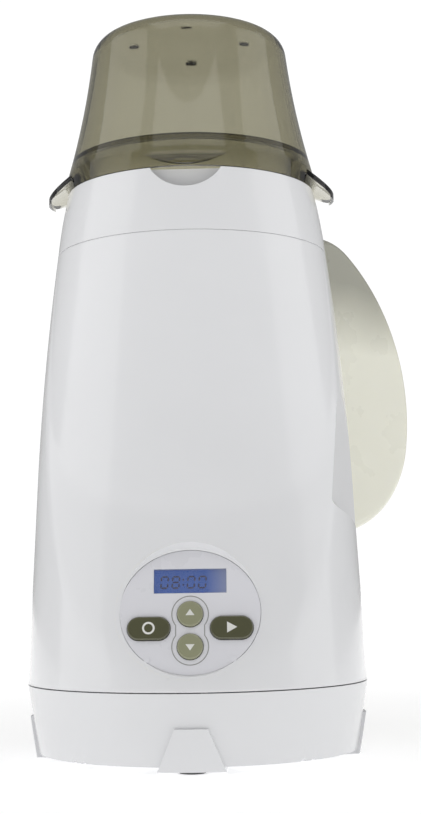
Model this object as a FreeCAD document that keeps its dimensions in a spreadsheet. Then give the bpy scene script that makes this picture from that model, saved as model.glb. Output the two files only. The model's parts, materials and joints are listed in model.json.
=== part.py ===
"""Steam bottle warmer: a round housing with a steam chamber, a lift-off lid and a water tank.

The sizes live in the sheet below, in millimetres. Everything is drawn about the housing's own axis
and then placed by axis_x and axis_y, which put the origin under the middle of the whole outline.
"""
import FreeCAD, Part
import math
import os
import re

import Sketcher
from FreeCAD import Placement, Rotation, Vector

SIZES = {
    # position of the housing's axis
    "axis_x": -12.4, "axis_y": -7.15,
    # mouldings
    "wall": 2.6, "fit_gap": 0.3,
    # base tray
    "tray_low_r": 65.4, "tray_low_z": 2.7, "tray_top_r": 69.9, "tray_top_z": 30.0,
    "tray_wall": 2.5, "floor_low_z": 4.2, "floor_top_z": 6.6,
    "foot_top_z": 17.0, "foot_low_half": 13.0, "foot_top_half": 6.3, "foot_proud": 0.9,
    "foot_inner_r": 50.0, "pad_height": 1.0, "pad_r": 5.0, "pad_ring_r": 58.5,
    "notch_r": 1.1, "notch_angle": 42.0, "notch_half_step": 2.7,
    "gland_angle": 120.0, "gland_z": 15.5, "gland_bore_r": 3.6, "gland_r": 5.4,
    "gland_flange_r": 7.2, "gland_in": 62.0, "gland_seat": 68.2, "gland_out": 70.4,
    "boss_ring_r": 57.5, "boss_r": 4.0, "boss_low_z": 6.8, "boss_top_z": 44.0,
    "screw_r": 1.5, "screw_head_r": 3.0, "screw_head": 2.0, "screw_long": 18.0,
    # housing
    "shell_low_z": 30.3, "shell_low_r": 69.9, "shell_mid_z": 110.0, "shell_mid_r": 65.9,
    "shell_bow_z": 159.0, "shell_bow_r": 62.42, "shell_top_z": 208.0, "shell_top_r": 56.9,
    "saddle_r": 85.0, "saddle_y": 28.2, "saddle_z": 93.0, "saddle_lean": 11.12,
    "shield_z": 93.0, "shield_y": 19.1, "shield_r": 76.7, "shield_low_z": 50.0,
    "facet_angle": -17.5, "facet_in": 63.6, "facet_floor_z": 96.0, "facet_slope": 14.2,
    "well_r": 46.0,
    # control panel
    "panel_y": -62.0, "panel_z": 59.8, "panel_lean": 14.5, "panel_a": 26.6, "panel_b": 23.9,
    "panel_thick": 2.5, "panel_lip": 2.2, "panel_ledge": 0.9, "panel_gap": 0.15,
    "flare_rise": 8.0, "flare_out": 3.6, "boss_back": 5.5,
    "glass_w": 27.6, "glass_h": 9.4, "glass_v": 12.0, "glass_thick": 1.6, "glass_set": 0.3,
    "round_r": 4.9, "round_up_v": -0.8, "round_down_v": -13.2,
    "pill_u": 15.6, "pill_v": -6.2, "pill_w": 16.2, "pill_h": 8.9,
    "button_gap": 0.2, "button_proud": 1.3, "button_edge": 0.7,
    "button_flange": 0.9, "button_stop": 0.05, "round_brim": 0.8, "pill_brim": 0.4,
    "stem_r": 1.5, "stem_end": 6.2, "switch_side": 6.0, "switch_high": 3.5, "switch_pin_r": 1.7,
    "switch_pin": 0.8, "board_front": 11.5, "board_thick": 1.6, "board_w": 45.0, "board_h": 37.0,
    "board_v": -1.0, "post_r": 2.4, "post_low_u": 11.5, "post_low_v": -15.4, "post_high_u": 19.8,
    "post_high_v": 2.4, "post_hole_r": 1.05, "post_bore": 7.0,
    "nub_u": 16.2, "nub_v": -18.0, "nub_r": 1.1, "nub_proud": 0.3,
    "board_head_r": 1.9, "board_head": 1.3, "board_shank": 6.5,
    "display_w": 30.0, "display_h": 11.4, "frame_wall": 1.5, "display_front": 2.6, "display_thick": 2.0,
    "buzzer_r": 4.8, "buzzer_high": 5.0, "buzzer_v": -11.0,
    # collar
    "collar_bow_z": 221.5, "collar_bow_r": 55.0, "collar_top_z": 234.5, "collar_top_r": 52.4,
    "collar_in_r": 45.4, "ledge_in_r": 41.2, "ledge_z": 222.0, "ledge_low_z": 219.6,
    "scoop_r": 16.0, "scoop_z": 242.0, "scoop_in": 47.4,
    # chamber and heater
    "chamber_r": 38.5, "chamber_out_r": 40.3, "chamber_low_z": 58.0, "chamber_floor_z": 60.0,
    "chamber_mouth_r": 26.0, "chamber_flange_r": 45.0, "chamber_top_z": 223.8,
    "seal_low_z": 57.4, "seal_in_r": 26.5, "seal_out_r": 32.5,
    "dish_low_z": 48.0, "dish_floor_z": 50.0, "dish_r": 22.5, "dish_out_r": 25.0,
    "dish_rim_r": 37.5, "dish_rim_z": 55.4, "stub_r": 2.2, "stub_bore_r": 1.2, "stub_z": 51.3,
    "stub_end": 31.0,
    "coil_ring_r": 17.0, "coil_r": 3.0, "coil_z": 44.9, "coil_turn": 320.0, "pin_r": 1.2, "pin_long": 7.0,
    "stat_r": 8.0, "stat_high": 5.0, "fuse_r": 1.8, "fuse_long": 12.0, "fuse_y": 22.4,
    "shield_pan_z": 34.0, "shield_pan_r": 33.0, "sheet_thick": 0.8,
    "clamp_ring_r": 35.3, "clamp_screw_r": 1.2, "clamp_head_r": 2.0, "clamp_head": 1.4,
    # basket
    "basket_r": 36.1, "basket_out_r": 37.6, "basket_low_z": 62.0, "basket_floor_z": 64.0,
    "basket_rim_r": 44.4, "basket_rim_z": 224.1, "basket_top_z": 225.7,
    "handle_in_r": 40.6, "handle_out_r": 42.6, "handle_half": 15.0, "handle_top_z": 242.0,
    "handle_slot": 9.0, "slot_w": 8.0, "slot_low_z": 90.0, "slot_top_z": 196.0, "drain_r": 4.0,
    # lid
    "lid_seat_z": 234.9, "lid_rim_r": 52.1, "lid_edge_z": 241.6, "lid_edge_r": 52.4,
    "lid_side_z": 243.0, "lid_side_r": 52.2, "lid_bow_z": 264.5, "lid_bow_r": 46.9,
    "lid_high_z": 295.0, "lid_high_r": 41.8, "lid_round_z": 300.6, "lid_round_r": 39.2,
    "lid_roof_z": 303.4, "lid_roof_r": 32.5, "lid_crown_z": 305.2,
    "lid_wall": 2.0, "spigot_r": 45.0, "spigot_in_r": 43.4, "spigot_low_z": 228.0,
    "shelf_low_z": 246.6, "shelf_z": 248.8, "shelf_out_r": 48.5, "skirt_in_r": 49.0,
    "vent_ring_r": 24.0, "vent_r": 2.4,
    "ear_r": 19.0, "ear_x": 42.0, "ear_tip_r": 61.2, "ear_tip_z": 234.2, "ear_low_z": 231.6,
    "ear_lip": 1.4, "ear_under_z": 232.8, "ear_root_z": 240.0,
    "tab_r": 30.2, "tab_z": 265.4, "tab_in": 51.0, "tab_out": 54.4, "tab_low_z": 234.95,
    "tab_lip_z": 236.4,
    # tank, drawn in its own upright plane: distance out from the axis, and height
    "tank_angle": 40.0, "tank_half": 22.0, "tank_in_r": 58.5, "tank_wall": 2.2, "tank_edge": 3.5,
    "tank_root": 42.0, "tank_top_z": 220.2, "tank_low_z": 91.0, "tank_out": 107.0,
    "tank_shoulder_r": 27.0, "tank_belly_r": 90.0, "tank_belly_z": 143.2, "tank_keel_r": 45.0,
    "bay_gap": 0.5, "bay_floor_z": 90.4, "bay_wall": 2.5, "key_out": 56.4, "key_half": 6.0,
    "spout_out": 60.6, "spout_r": 3.2, "spout_low_z": 80.0, "spout_bore_r": 1.9,
    "spout_neck_r": 1.0, "spout_neck_z": 90.0, "spout_seat_z": 93.4,
    "stem_thin_r": 0.7, "stem_low_z": 83.6, "stem_foot_r": 1.6, "stem_foot": 1.0,
    "valve_head_r": 2.4, "valve_head": 1.6, "valve_lift": 0.1,
    "coil_wire_r": 0.18, "coil_spring_r": 1.35, "coil_pitch": 1.0,
    "socket_r": 4.8, "socket_bore_r": 3.5, "socket_low_z": 76.0, "socket_top_z": 87.8,
    "socket_cup_z": 78.5, "nipple_r": 2.2, "nipple_bore_r": 1.2, "nipple_low_z": 69.0,
    "push_pin_r": 0.7, "push_pin_z": 83.3, "ring_section_r": 0.45, "ring_z": 84.6,
    "groove_r": 4.15, "groove_half": 0.48, "ring_play": 0.02,
    "hose_r": 3.2, "hose_bore_r": 2.3, "hose_bend": 9.0, "hose_end": 26.0, "clip_thick": 0.6,
    "clip_wide": 2.4,
    "plug_r": 7.0, "plug_head_r": 9.0, "plug_thick": 2.2, "plug_deep": 5.0, "plug_out": 78.0,
    "plug_z": 178.0,
    # power board in the tray
    "power_w": 58.0, "power_h": 34.0, "power_z": 13.0, "power_y": -6.0, "leg_r": 3.0, "leg_hole_r": 1.1,
    "relay_w": 19.0, "relay_h": 15.0, "relay_high": 12.0, "cap_r": 5.0, "cap_high": 12.0,
    "terminal_w": 16.0, "terminal_h": 9.0, "terminal_high": 9.0,
    "ribbon_w": 12.0, "ribbon_thick": 0.9,
}

doc = FreeCAD.newDocument("BottleWarmer")
sheet = doc.addObject("Spreadsheet::Sheet", "Sizes")
for row, (alias, size) in enumerate(SIZES.items(), start=1):
    sheet.set("A%d" % row, alias)
    sheet.set("B%d" % row, "%g" % size)
    sheet.setAlias("B%d" % row, alias)
doc.recompute()

parts = []


# ---------------------------------------------------------------- sums of cells
def amount(text):
    """The value of a sum of cells and numbers, such as 'tray_top_r - wall'."""
    total = 0.0
    for sign, word in re.findall(r"([+-]?)\s*([A-Za-z_]\w*|\d+\.?\d*)", text):
        size = float(word) if word[0].isdigit() else float(sheet.get(word))
        total += -size if sign == "-" else size
    return total


def formula(text):
    """The same sum as an expression over the sheet."""
    return re.sub(r"([A-Za-z_]\w*)", r"Sizes.\1", text)


def less(whole, taken):
    """The sum that is left when one sum is taken from another."""
    flipped = taken.translate(str.maketrans("+-", "-+"))
    return "%s - %s" % (whole, flipped)


def bind(item, **sums):
    """Sets properties of an object and ties each one to the sheet."""
    for name, text in sums.items():
        setattr(item, name, amount(text))
        item.setExpression(name, formula(text))
    return item


def put(item, x="0", y="0", z="0", axis=None, turn="0"):
    """Places an object by sums of cells, turned about one axis."""
    spin = Rotation(Vector(*axis), amount(turn)) if axis else Rotation()
    item.Placement = Placement(Vector(amount(x), amount(y), amount(z)), spin)
    for letter, text in zip("xyz", (x, y, z)):
        if text != "0":
            item.setExpression(".Placement.Base." + letter, formula(text))
    if axis:
        item.setExpression(".Placement.Rotation.Angle", formula(turn))
    return item


# ---------------------------------------------------------------- sketches and solids
def new_sketch(body, role, name):
    sketch = body.newObject("Sketcher::SketchObject", name)
    plane = next(item for item in body.Origin.OriginFeatures if item.Role == role)
    sketch.AttachmentSupport = (plane, [""])
    sketch.MapMode = "FlatFace"
    return sketch


def pin_point(sketch, index, end, corner):
    """Ties one point of the sketch to a pair of sums of cells."""
    for kind, axis_line, text in (("DistanceX", -2, corner[0]), ("DistanceY", -1, corner[1])):
        if text == "0":
            sketch.addConstraint(Sketcher.Constraint("PointOnObject", index, end, axis_line))
            continue
        number = sketch.addConstraint(
            Sketcher.Constraint(kind, -1, 1, index, end, amount(text)))
        sketch.setExpression("Constraints[%d]" % number, formula(text))


def outline(sketch, corners):
    """A closed outline. A corner is (across, up); four values add a point that an arc runs through."""
    spots = [Vector(amount(corner[0]), amount(corner[1]), 0) for corner in corners]
    last = len(corners) - 1
    edges = []
    for place, corner in enumerate(corners):
        start = spots[place - 1] if place else spots[last]
        if len(corner) == 4:
            through = Vector(amount(corner[2]), amount(corner[3]), 0)
            arc = Part.Arc(start, through, spots[place])
            index = sketch.addGeometry(arc, False)
            held = sketch.addGeometry(Part.Point(through), True)
            sketch.addConstraint(Sketcher.Constraint("PointOnObject", held, 1, index))
            pin_point(sketch, held, 1, corner[2:])
            first_is_start = sketch.getPoint(index, 1).distanceToPoint(start) < 1e-4
            edges.append((index, 1, 2) if first_is_start else (index, 2, 1))
        else:
            edges.append((sketch.addGeometry(Part.LineSegment(start, spots[place]), False), 1, 2))
    for place, (index, start, end) in enumerate(edges):
        after = edges[(place + 1) % len(edges)]
        sketch.addConstraint(Sketcher.Constraint("Coincident", index, end, after[0], after[1]))
        pin_point(sketch, index, end, corners[place])


def turned(name, corners):
    """A body turned about the vertical axis from an outline of (radius, height)."""
    body = doc.addObject("PartDesign::Body", name)
    sketch = new_sketch(body, "XZ_Plane", name + "_outline")
    outline(sketch, corners)
    feature = body.newObject("PartDesign::Revolution", name + "_turned")
    feature.Profile = sketch
    feature.ReferenceAxis = (sketch, ["V_Axis"])
    feature.Angle = 360
    return body


def padded(name, role, corners, length, midplane=True):
    """A body pushed out from an outline on one of the origin planes."""
    body = doc.addObject("PartDesign::Body", name)
    sketch = new_sketch(body, role, name + "_outline")
    outline(sketch, corners)
    feature = body.newObject("PartDesign::Pad", name + "_pad")
    feature.Profile = sketch
    feature.Midplane = midplane
    bind(feature, Length=length)
    return body


def cylinder(name, radius, height, **where):
    item = doc.addObject("Part::Cylinder", name)
    bind(item, Radius=radius, Height=height)
    return put(item, **where)


def cone(name, low, high, height, **where):
    item = doc.addObject("Part::Cone", name)
    bind(item, Radius1=low, Radius2=high, Height=height)
    return put(item, **where)


def box(name, across, deep, high, **where):
    item = doc.addObject("Part::Box", name)
    bind(item, Length=across, Width=deep, Height=high)
    return put(item, **where)


def cut(name, base, *tools):
    for number, tool in enumerate(tools):
        item = doc.addObject("Part::Cut", "%s_%d" % (name, number))
        item.Base = base
        item.Tool = tool
        base = item
    return base


def fuse(name, *items):
    item = doc.addObject("Part::MultiFuse", name)
    item.Shapes = list(items)
    item.Refine = True
    return item


def common(name, first, second):
    item = doc.addObject("Part::Common", name)
    item.Base = first
    item.Tool = second
    return item


def group(name, items):
    """Several separate solids of one kind in one node."""
    item = doc.addObject("Part::Compound", name)
    item.Links = list(items)
    return item


def on_ring(item, angle, radius, z="0"):
    """Places an item on a ring about the axis; sums of cells give its radius and height."""
    turn = math.radians(angle)
    reach = amount(radius)
    spot = Vector(reach * math.cos(turn), reach * math.sin(turn), amount(z))
    item.Placement = Placement(spot, Rotation(Vector(0, 0, 1), angle))
    item.setExpression(".Placement.Base.x", "(%s) * cos(%g deg)" % (formula(radius), angle))
    item.setExpression(".Placement.Base.y", "(%s) * sin(%g deg)" % (formula(radius), angle))
    item.setExpression(".Placement.Base.z", formula(z))
    return item


# ---------------------------------------------------------------- where a finished sub-part goes
def name_part(node, item, **where):
    """Gives a finished sub-part its name and its place in the row's frame."""
    if not item.Placement.isIdentity():
        item = group(node + "_set", [item])
    item.Label = node
    put(item, **where)
    parts.append(item)
    return item


def on_axis(node, item):
    """A sub-part that is drawn about the housing's axis."""
    return name_part(node, item, x="axis_x", y="axis_y")


def on_panel(node, item):
    """A sub-part that is drawn flat: across the panel, up it, and out of it."""
    return name_part(node, item, x="axis_x", y="axis_y + panel_y", z="panel_z",
                     axis=(1, 0, 0), turn="90 - panel_lean")


def on_tank(node, item):
    """A sub-part that is drawn with the tank's mid-plane along X."""
    return name_part(node, item, x="axis_x", y="axis_y", axis=(0, 0, 1), turn="tank_angle")


# ---------------------------------------------------------------- base tray and what stands on it
def base_tray():
    pan = turned("tray_pan", [
        ("0", "floor_low_z"), ("tray_low_r - tray_wall", "floor_low_z"),
        ("tray_low_r - tray_wall", "tray_low_z"), ("tray_low_r", "tray_low_z"),
        ("tray_top_r", "tray_top_z"), ("tray_top_r - tray_wall", "tray_top_z"),
        ("tray_low_r - tray_wall + 0.6", "floor_top_z"), ("0", "floor_top_z")])
    wedge = [("0 - foot_low_half", "pad_height"), ("foot_low_half", "pad_height"),
             ("foot_top_half", "foot_top_z"), ("0 - foot_top_half", "foot_top_z")]
    wedges = fuse("foot_wedges", padded("foot_wedge_a", "XZ_Plane", wedge, "tray_low_r + tray_low_r + 8"),
                  padded("foot_wedge_b", "YZ_Plane", wedge, "tray_low_r + tray_low_r + 8"))
    reach = cone("foot_reach", "tray_low_r + foot_proud", "tray_top_r + foot_proud",
                 "tray_top_z - tray_low_z")
    ring = cut("foot_ring", common("foot_blocks", wedges, reach),
               cylinder("foot_core", "foot_inner_r", "foot_top_z + 1"))
    tray = fuse("tray_with_feet", pan, ring)
    holes = []
    for number, angle in enumerate((45, 135, 225, 315)):
        holes.append(on_ring(cylinder("tray_screw_hole_%d" % number, "screw_r + 0.1", "floor_top_z"),
                             angle, "boss_ring_r"))
    holes.append(gland_cylinder("gland_hole", "gland_r + 0.05", "gland_in - 2", "gland_out"))
    notches = []
    for side in (-90, 90):
        for spread in (-1, 1):
            for half in (-1, 1):
                step = math.degrees(amount("notch_half_step") / amount("tray_low_r"))
                angle = side + spread * amount("notch_angle") + half * step
                notch = cylinder("notch_%d" % len(notches), "notch_r", "tray_wall + 3")
                notch = on_ring(notch, angle, "tray_low_r - tray_wall - 1", "tray_low_z")
                lay_outward(notch, angle)
                notches.append(notch)
    return on_axis("base_tray", cut("tray_cut", tray, *holes, *notches))


def lay_outward(item, angle):
    """Turns an upright cylinder on a ring so that it points away from the axis."""
    item.Placement.Rotation = Rotation(Vector(0, 0, 1), angle) * Rotation(Vector(0, 1, 0), 90)


def gland_cylinder(name, radius, start, end):
    item = cylinder(name, radius, less(end, start))
    on_ring(item, amount("gland_angle"), start, "gland_z")
    lay_outward(item, amount("gland_angle"))
    return item


def rubber_feet():
    pads = []
    for number, angle in enumerate((0, 90, 180, 270)):
        pads.append(on_ring(cylinder("rubber_pad_%d" % number, "pad_r", "pad_height"),
                            angle, "pad_ring_r"))
    return on_axis("rubber_feet", group("pads", pads))


def base_screws():
    screws = []
    for number, angle in enumerate((45, 135, 225, 315)):
        head = on_ring(cylinder("base_head_%d" % number, "screw_head_r", "screw_head"),
                       angle, "boss_ring_r", "floor_low_z - screw_head")
        shank = on_ring(cylinder("base_shank_%d" % number, "screw_r", "screw_long"),
                        angle, "boss_ring_r", "floor_low_z")
        screws.append(fuse("base_screw_%d" % number, head, shank))
    return on_axis("base_screws", group("base_screw_set", screws))


def cord_gland():
    skirt = cone("gland_skirt", "tray_low_r", "tray_top_r", "tray_top_z - tray_low_z", z="tray_low_z")
    outside = cut("gland_trim", gland_cylinder("gland_flange_full", "gland_flange_r", "gland_in",
                                               "gland_out"), skirt)
    body = fuse("gland_whole", gland_cylinder("gland_core", "gland_r", "gland_in", "gland_out"), outside)
    bore = gland_cylinder("gland_bore", "gland_bore_r", "gland_in - 1", "gland_out + 1")
    return on_axis("cord_gland", cut("gland_bored", body, bore))


# ---------------------------------------------------------------- housing
def housing_solid(name, inset, low, high):
    """The housing's outer form, or its inside when inset by the wall."""
    sides = turned(name + "_sides", [
        ("0", low), ("shell_low_r - " + inset, low), ("shell_mid_r - " + inset, "shell_mid_z"),
        ("shell_top_r - " + inset, high, "shell_bow_r - " + inset, "shell_bow_z"), ("0", high)])
    saddle = cylinder(name + "_saddle", "saddle_r - " + inset, "260")
    lean = math.radians(amount("saddle_lean"))
    back = Vector(0, amount("saddle_y"), amount("saddle_z")) - Vector(0, math.sin(lean), math.cos(lean)) * 130
    saddle.Placement = Placement(back, Rotation(Vector(1, 0, 0), -amount("saddle_lean")))
    shield = shield_solid(name + "_shield", inset)
    front = fuse(name + "_front", saddle, shield)
    form = common(name + "_form", sides, front)
    facet = box(name + "_facet", "30", "80", "150")
    turn = Rotation(Vector(0, 0, 1), amount("facet_angle"))
    spin = turn * Rotation(Vector(1, 0, 0), -amount("facet_slope"))
    spot = turn.multVec(Vector(amount("facet_in - " + inset), 0, amount("facet_floor_z")))
    facet.Placement = Placement(spot - spin.multVec(Vector(0, 40, 0)), spin)
    if inset != "0":
        facet.Placement.Base.z -= amount(inset)
    return cut(name + "_solid", form, facet)


def shield_solid(name, inset):
    """The near-upright front of the housing: round at the top, flatter and further out below."""
    fall = amount("shell_top_z - shield_z")
    drop = amount("shell_top_z - shield_low_z") / fall
    rings = []
    for place, (y, radius, z) in enumerate((
            (amount("shield_y") * drop,
             amount("shell_top_r") + (amount("shield_r") - amount("shell_top_r")) * drop,
             amount("shield_low_z")),
            (0.0, amount("shell_top_r"), amount("shell_top_z")))):
        ring = doc.addObject("Part::Circle", "%s_ring_%d" % (name, place))
        ring.Radius = radius - amount(inset)
        ring.Placement = Placement(Vector(0, y, z), Rotation())
        rings.append(ring)
    loft = doc.addObject("Part::Loft", name)
    loft.Sections = rings
    loft.Solid = True
    loft.Ruled = True
    return loft


def panel_oval(name, across, up, low, high, more="0"):
    """An oval block square to the panel, from low to high along the panel's own normal."""
    rings = []
    for place, (level, grow) in enumerate(((low, "0"), (high, more))):
        ring = doc.addObject("Part::Ellipse", "%s_ring_%d" % (name, place))
        bind(ring, MajorRadius=across + " + " + grow, MinorRadius=up + " + " + grow)
        ring.Placement = Placement(Vector(0, 0, amount(level)), Rotation())
        rings.append(ring)
    loft = doc.addObject("Part::Loft", name)
    loft.Sections = rings
    loft.Solid = True
    loft.Ruled = True
    return loft


def stand_on_panel(item):
    return put(item, y="panel_y", z="panel_z", axis=(1, 0, 0), turn="90 - panel_lean")


def bay(name, gap, low, high):
    """The upright channel that the tank drops into, with a narrower key way for its spout."""
    wide = box(name + "_wide", "40", "tank_half + tank_half + %s + %s" % (gap, gap), less(high, low),
               x="54", y=less("0 - tank_half", gap), z=low)
    wide = cut(name + "_wide_cut", wide,
               cylinder(name + "_core", less("tank_in_r - 0.1", gap), high + " + 9"))
    key = box(name + "_key", "30", "key_half + key_half + %s + %s" % (gap, gap), less(high, low),
              x=less("key_out + bay_gap", gap), y=less("0 - key_half", gap), z=low)
    return put(fuse(name, wide, key), axis=(0, 0, 1), turn="tank_angle")


def screw_bosses():
    bosses = []
    for number, angle in enumerate((45, 135, 225, 315)):
        post = on_ring(cylinder("boss_post_%d" % number, "boss_r", "boss_top_z - boss_low_z"),
                       angle, "boss_ring_r", "boss_low_z")
        rib = box("boss_rib_%d" % number, "16", "2.4", "boss_top_z - shell_low_z - 1", y="0 - 1.2")
        rib = on_ring(group("boss_rib_mid_%d" % number, [rib]), angle, "boss_ring_r", "shell_low_z + 1")
        bosses += [post, rib]
    return bosses


def main_housing():
    outer = housing_solid("outer", "0", "shell_low_z", "shell_top_z")
    inner = housing_solid("inner", "wall", "shell_low_z - 1", "shell_top_z - wall")
    shell = cut("shell", outer, inner)
    seat = panel_oval("panel_seat", "panel_a + panel_lip", "panel_b + panel_lip", "0 - boss_back", "14")
    backing = bay("bay_backing", "bay_gap + bay_wall", "bay_floor_z - wall", "shell_top_z")
    added = fuse("inside_walls", stand_on_panel(seat), backing, *screw_bosses())
    reach = fuse("outer_reach", outer, cylinder("boss_reach", "tray_low_r - tray_wall - 1", "50", z="boss_low_z"))
    whole = fuse("shell_with_walls", shell, common("walls_inside", added, reach))
    bowl = panel_oval("panel_bowl", "panel_a + panel_gap", "panel_b + panel_gap", "0 - panel_thick",
                      "0")
    flare = panel_oval("panel_flare", "panel_a + panel_gap", "panel_b + panel_gap", "0", "flare_rise",
                       "flare_out")
    window = panel_oval("panel_window", "panel_a - panel_ledge", "panel_b - panel_ledge", "0 - 20", "0")
    cavity = fuse("panel_cavity", bowl, flare, window)
    top_hole = cylinder("well_hole", "well_r", "60", z="shell_top_z - 30")
    chamber_room = cylinder("chamber_room", "chamber_out_r + 2", "260")
    screw_holes = []
    for number, angle in enumerate((45, 135, 225, 315)):
        screw_holes.append(on_ring(cylinder("boss_hole_%d" % number, "screw_r + 0.02", "screw_long + 4"),
                                   angle, "boss_ring_r", "boss_low_z - 1"))
    room = put(group("socket_room", [cylinder("socket_room_bore", "socket_r + 0.2",
                                              "socket_top_z - nipple_low_z + 1", x="spout_out",
                                              z="nipple_low_z - 1")]),
               axis=(0, 0, 1), turn="tank_angle")
    throat = put(group("socket_throat", [cylinder("socket_throat_bore", "socket_bore_r", "20",
                                                  x="spout_out", z="socket_top_z - 5")]),
                 axis=(0, 0, 1), turn="tank_angle")
    hollow = cut("housing_cut", whole, stand_on_panel(cavity), top_hole, chamber_room,
                 bay("bay_space", "bay_gap", "bay_floor_z", "shell_top_z + 20"), room, throat,
                 *screw_holes)
    return on_axis("main_housing", hollow)


def top_collar():
    ring = turned("collar_ring", [
        ("shell_top_r - 2.4", "shell_top_z"), ("shell_top_r", "shell_top_z"),
        ("collar_top_r", "collar_top_z", "collar_bow_r", "collar_bow_z"),
        ("collar_in_r", "collar_top_z"), ("collar_in_r", "ledge_z"), ("ledge_in_r", "ledge_z"),
        ("ledge_in_r", "ledge_low_z"), ("shell_top_r - 7", "ledge_low_z")])
    scoop = cylinder("finger_scoop", "scoop_r", "30", y="0 - scoop_in", z="scoop_z",
                     axis=(1, 0, 0), turn="90")
    return on_axis("top_collar", cut("collar_cut", ring, scoop,
                                     bay("collar_bay", "bay_gap", "bay_floor_z", "collar_top_z + 9")))


# ---------------------------------------------------------------- chamber and heater
def clamp_angles():
    return (100, 220, 340)


def clamp_holes(name, radius, low, high):
    return [on_ring(cylinder("%s_%d" % (name, angle), radius, less(high, low)),
                    angle, "clamp_ring_r", low) for angle in clamp_angles()]


def steam_chamber():
    cup = turned("chamber_cup", [
        ("chamber_mouth_r", "chamber_low_z"), ("chamber_out_r", "chamber_low_z"),
        ("chamber_out_r", "ledge_z"), ("chamber_flange_r", "ledge_z"),
        ("chamber_flange_r", "chamber_top_z"), ("chamber_r", "chamber_top_z"),
        ("chamber_r", "chamber_floor_z"), ("chamber_mouth_r", "chamber_floor_z")])
    return on_axis("steam_chamber", cut("chamber_cut", cup,
                                        *clamp_holes("chamber_hole", "clamp_screw_r", "50", "59.2")))


def chamber_seal():
    return on_axis("chamber_seal", turned("seal_ring", [
        ("seal_in_r", "seal_low_z"), ("seal_out_r", "seal_low_z"),
        ("seal_out_r", "chamber_low_z"), ("seal_in_r", "chamber_low_z")]))


def boiler_dish():
    dish = turned("dish_pan", [
        ("0", "dish_low_z"), ("dish_out_r", "dish_low_z"), ("dish_out_r", "dish_rim_z"),
        ("dish_rim_r", "dish_rim_z"), ("dish_rim_r", "seal_low_z"), ("dish_r", "seal_low_z"),
        ("dish_r", "dish_floor_z"), ("0", "dish_floor_z")])
    stub = feed_cylinder("dish_stub", "stub_r", "dish_out_r - 1", "stub_end")
    bore = feed_cylinder("dish_stub_bore", "stub_bore_r", "dish_r - 2", "stub_end + 2")
    holes = clamp_holes("dish_hole", "clamp_screw_r + 0.05", "50", "59")
    return on_axis("boiler_dish", cut("dish_cut", fuse("dish_whole", dish, stub), bore, *holes))


def feed_cylinder(name, radius, start, end):
    """A level round bar towards the tank, at the height of the boiler's inlet."""
    item = cylinder(name, radius, less(end, start))
    on_ring(item, amount("tank_angle"), start, "stub_z")
    lay_outward(item, amount("tank_angle"))
    return item


def heating_element():
    ring = doc.addObject("Part::Torus", "element_ring")
    bind(ring, Radius1="coil_ring_r", Radius2="coil_r", Angle3="coil_turn")
    ring.Placement = Placement(Vector(0, 0, amount("coil_z")),
                               Rotation(Vector(0, 0, 1), 90 + (360 - amount("coil_turn")) / 2))
    pins = []
    for number, angle in enumerate((90 - 20, 90 + 20)):
        sleeve = on_ring(cylinder("element_sleeve_%d" % number, "coil_r", "pin_long - 3"),
                         angle, "coil_ring_r", "coil_z - pin_long + 3")
        pin = on_ring(cylinder("element_pin_%d" % number, "pin_r", "pin_long"),
                      angle, "coil_ring_r", "coil_z - pin_long - 1")
        elbow = doc.addObject("Part::Sphere", "element_elbow_%d" % number)
        bind(elbow, Radius="coil_r")
        on_ring(elbow, angle, "coil_ring_r", "coil_z")
        pins += [sleeve, pin, elbow]
    return on_axis("heating_element", fuse("element", ring, *pins))


def thermostat():
    can = cylinder("thermostat_can", "stat_r", "stat_high", z="dish_low_z - stat_high - 0.05")
    tabs = box("thermostat_tabs", "12", "4", "3", x="0 - 6", y="0 - 2", z="dish_low_z - stat_high - 3")
    return on_axis("thermostat", fuse("thermostat_whole", can, tabs))


def thermal_fuse():
    body = cylinder("fuse_body", "fuse_r", "fuse_long", x="0 - fuse_long + 6", y="0 - fuse_y",
                    z="dish_low_z - fuse_r - 0.1", axis=(0, 1, 0), turn="90")
    return on_axis("thermal_fuse", body)


def heat_shield():
    pan = turned("shield_pan", [
        ("4", "shield_pan_z"), ("shield_pan_r", "shield_pan_z"),
        ("shield_pan_r", "dish_rim_z - sheet_thick"), ("dish_rim_r", "dish_rim_z - sheet_thick"),
        ("dish_rim_r", "dish_rim_z"), ("shield_pan_r - sheet_thick", "dish_rim_z"),
        ("shield_pan_r - sheet_thick", "shield_pan_z + sheet_thick"),
        ("4", "shield_pan_z + sheet_thick")])
    feed = feed_cylinder("shield_feed_hole", "hose_r + 0.4", "stub_end - 2", "stub_end + 9")
    holes = clamp_holes("shield_hole", "clamp_screw_r + 0.05", "50", "59")
    return on_axis("heat_shield", cut("shield_cut", pan, feed, *holes))


def clamp_screws():
    screws = []
    for angle in clamp_angles():
        head = on_ring(cylinder("clamp_head_%d" % angle, "clamp_head_r", "clamp_head"),
                       angle, "clamp_ring_r", "dish_rim_z - sheet_thick - clamp_head")
        shank = on_ring(cylinder("clamp_shank_%d" % angle, "clamp_screw_r", "3.6"),
                        angle, "clamp_ring_r", "dish_rim_z - sheet_thick")
        screws.append(fuse("clamp_screw_%d" % angle, head, shank))
    return on_axis("clamp_screws", group("clamp_screw_set", screws))


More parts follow.
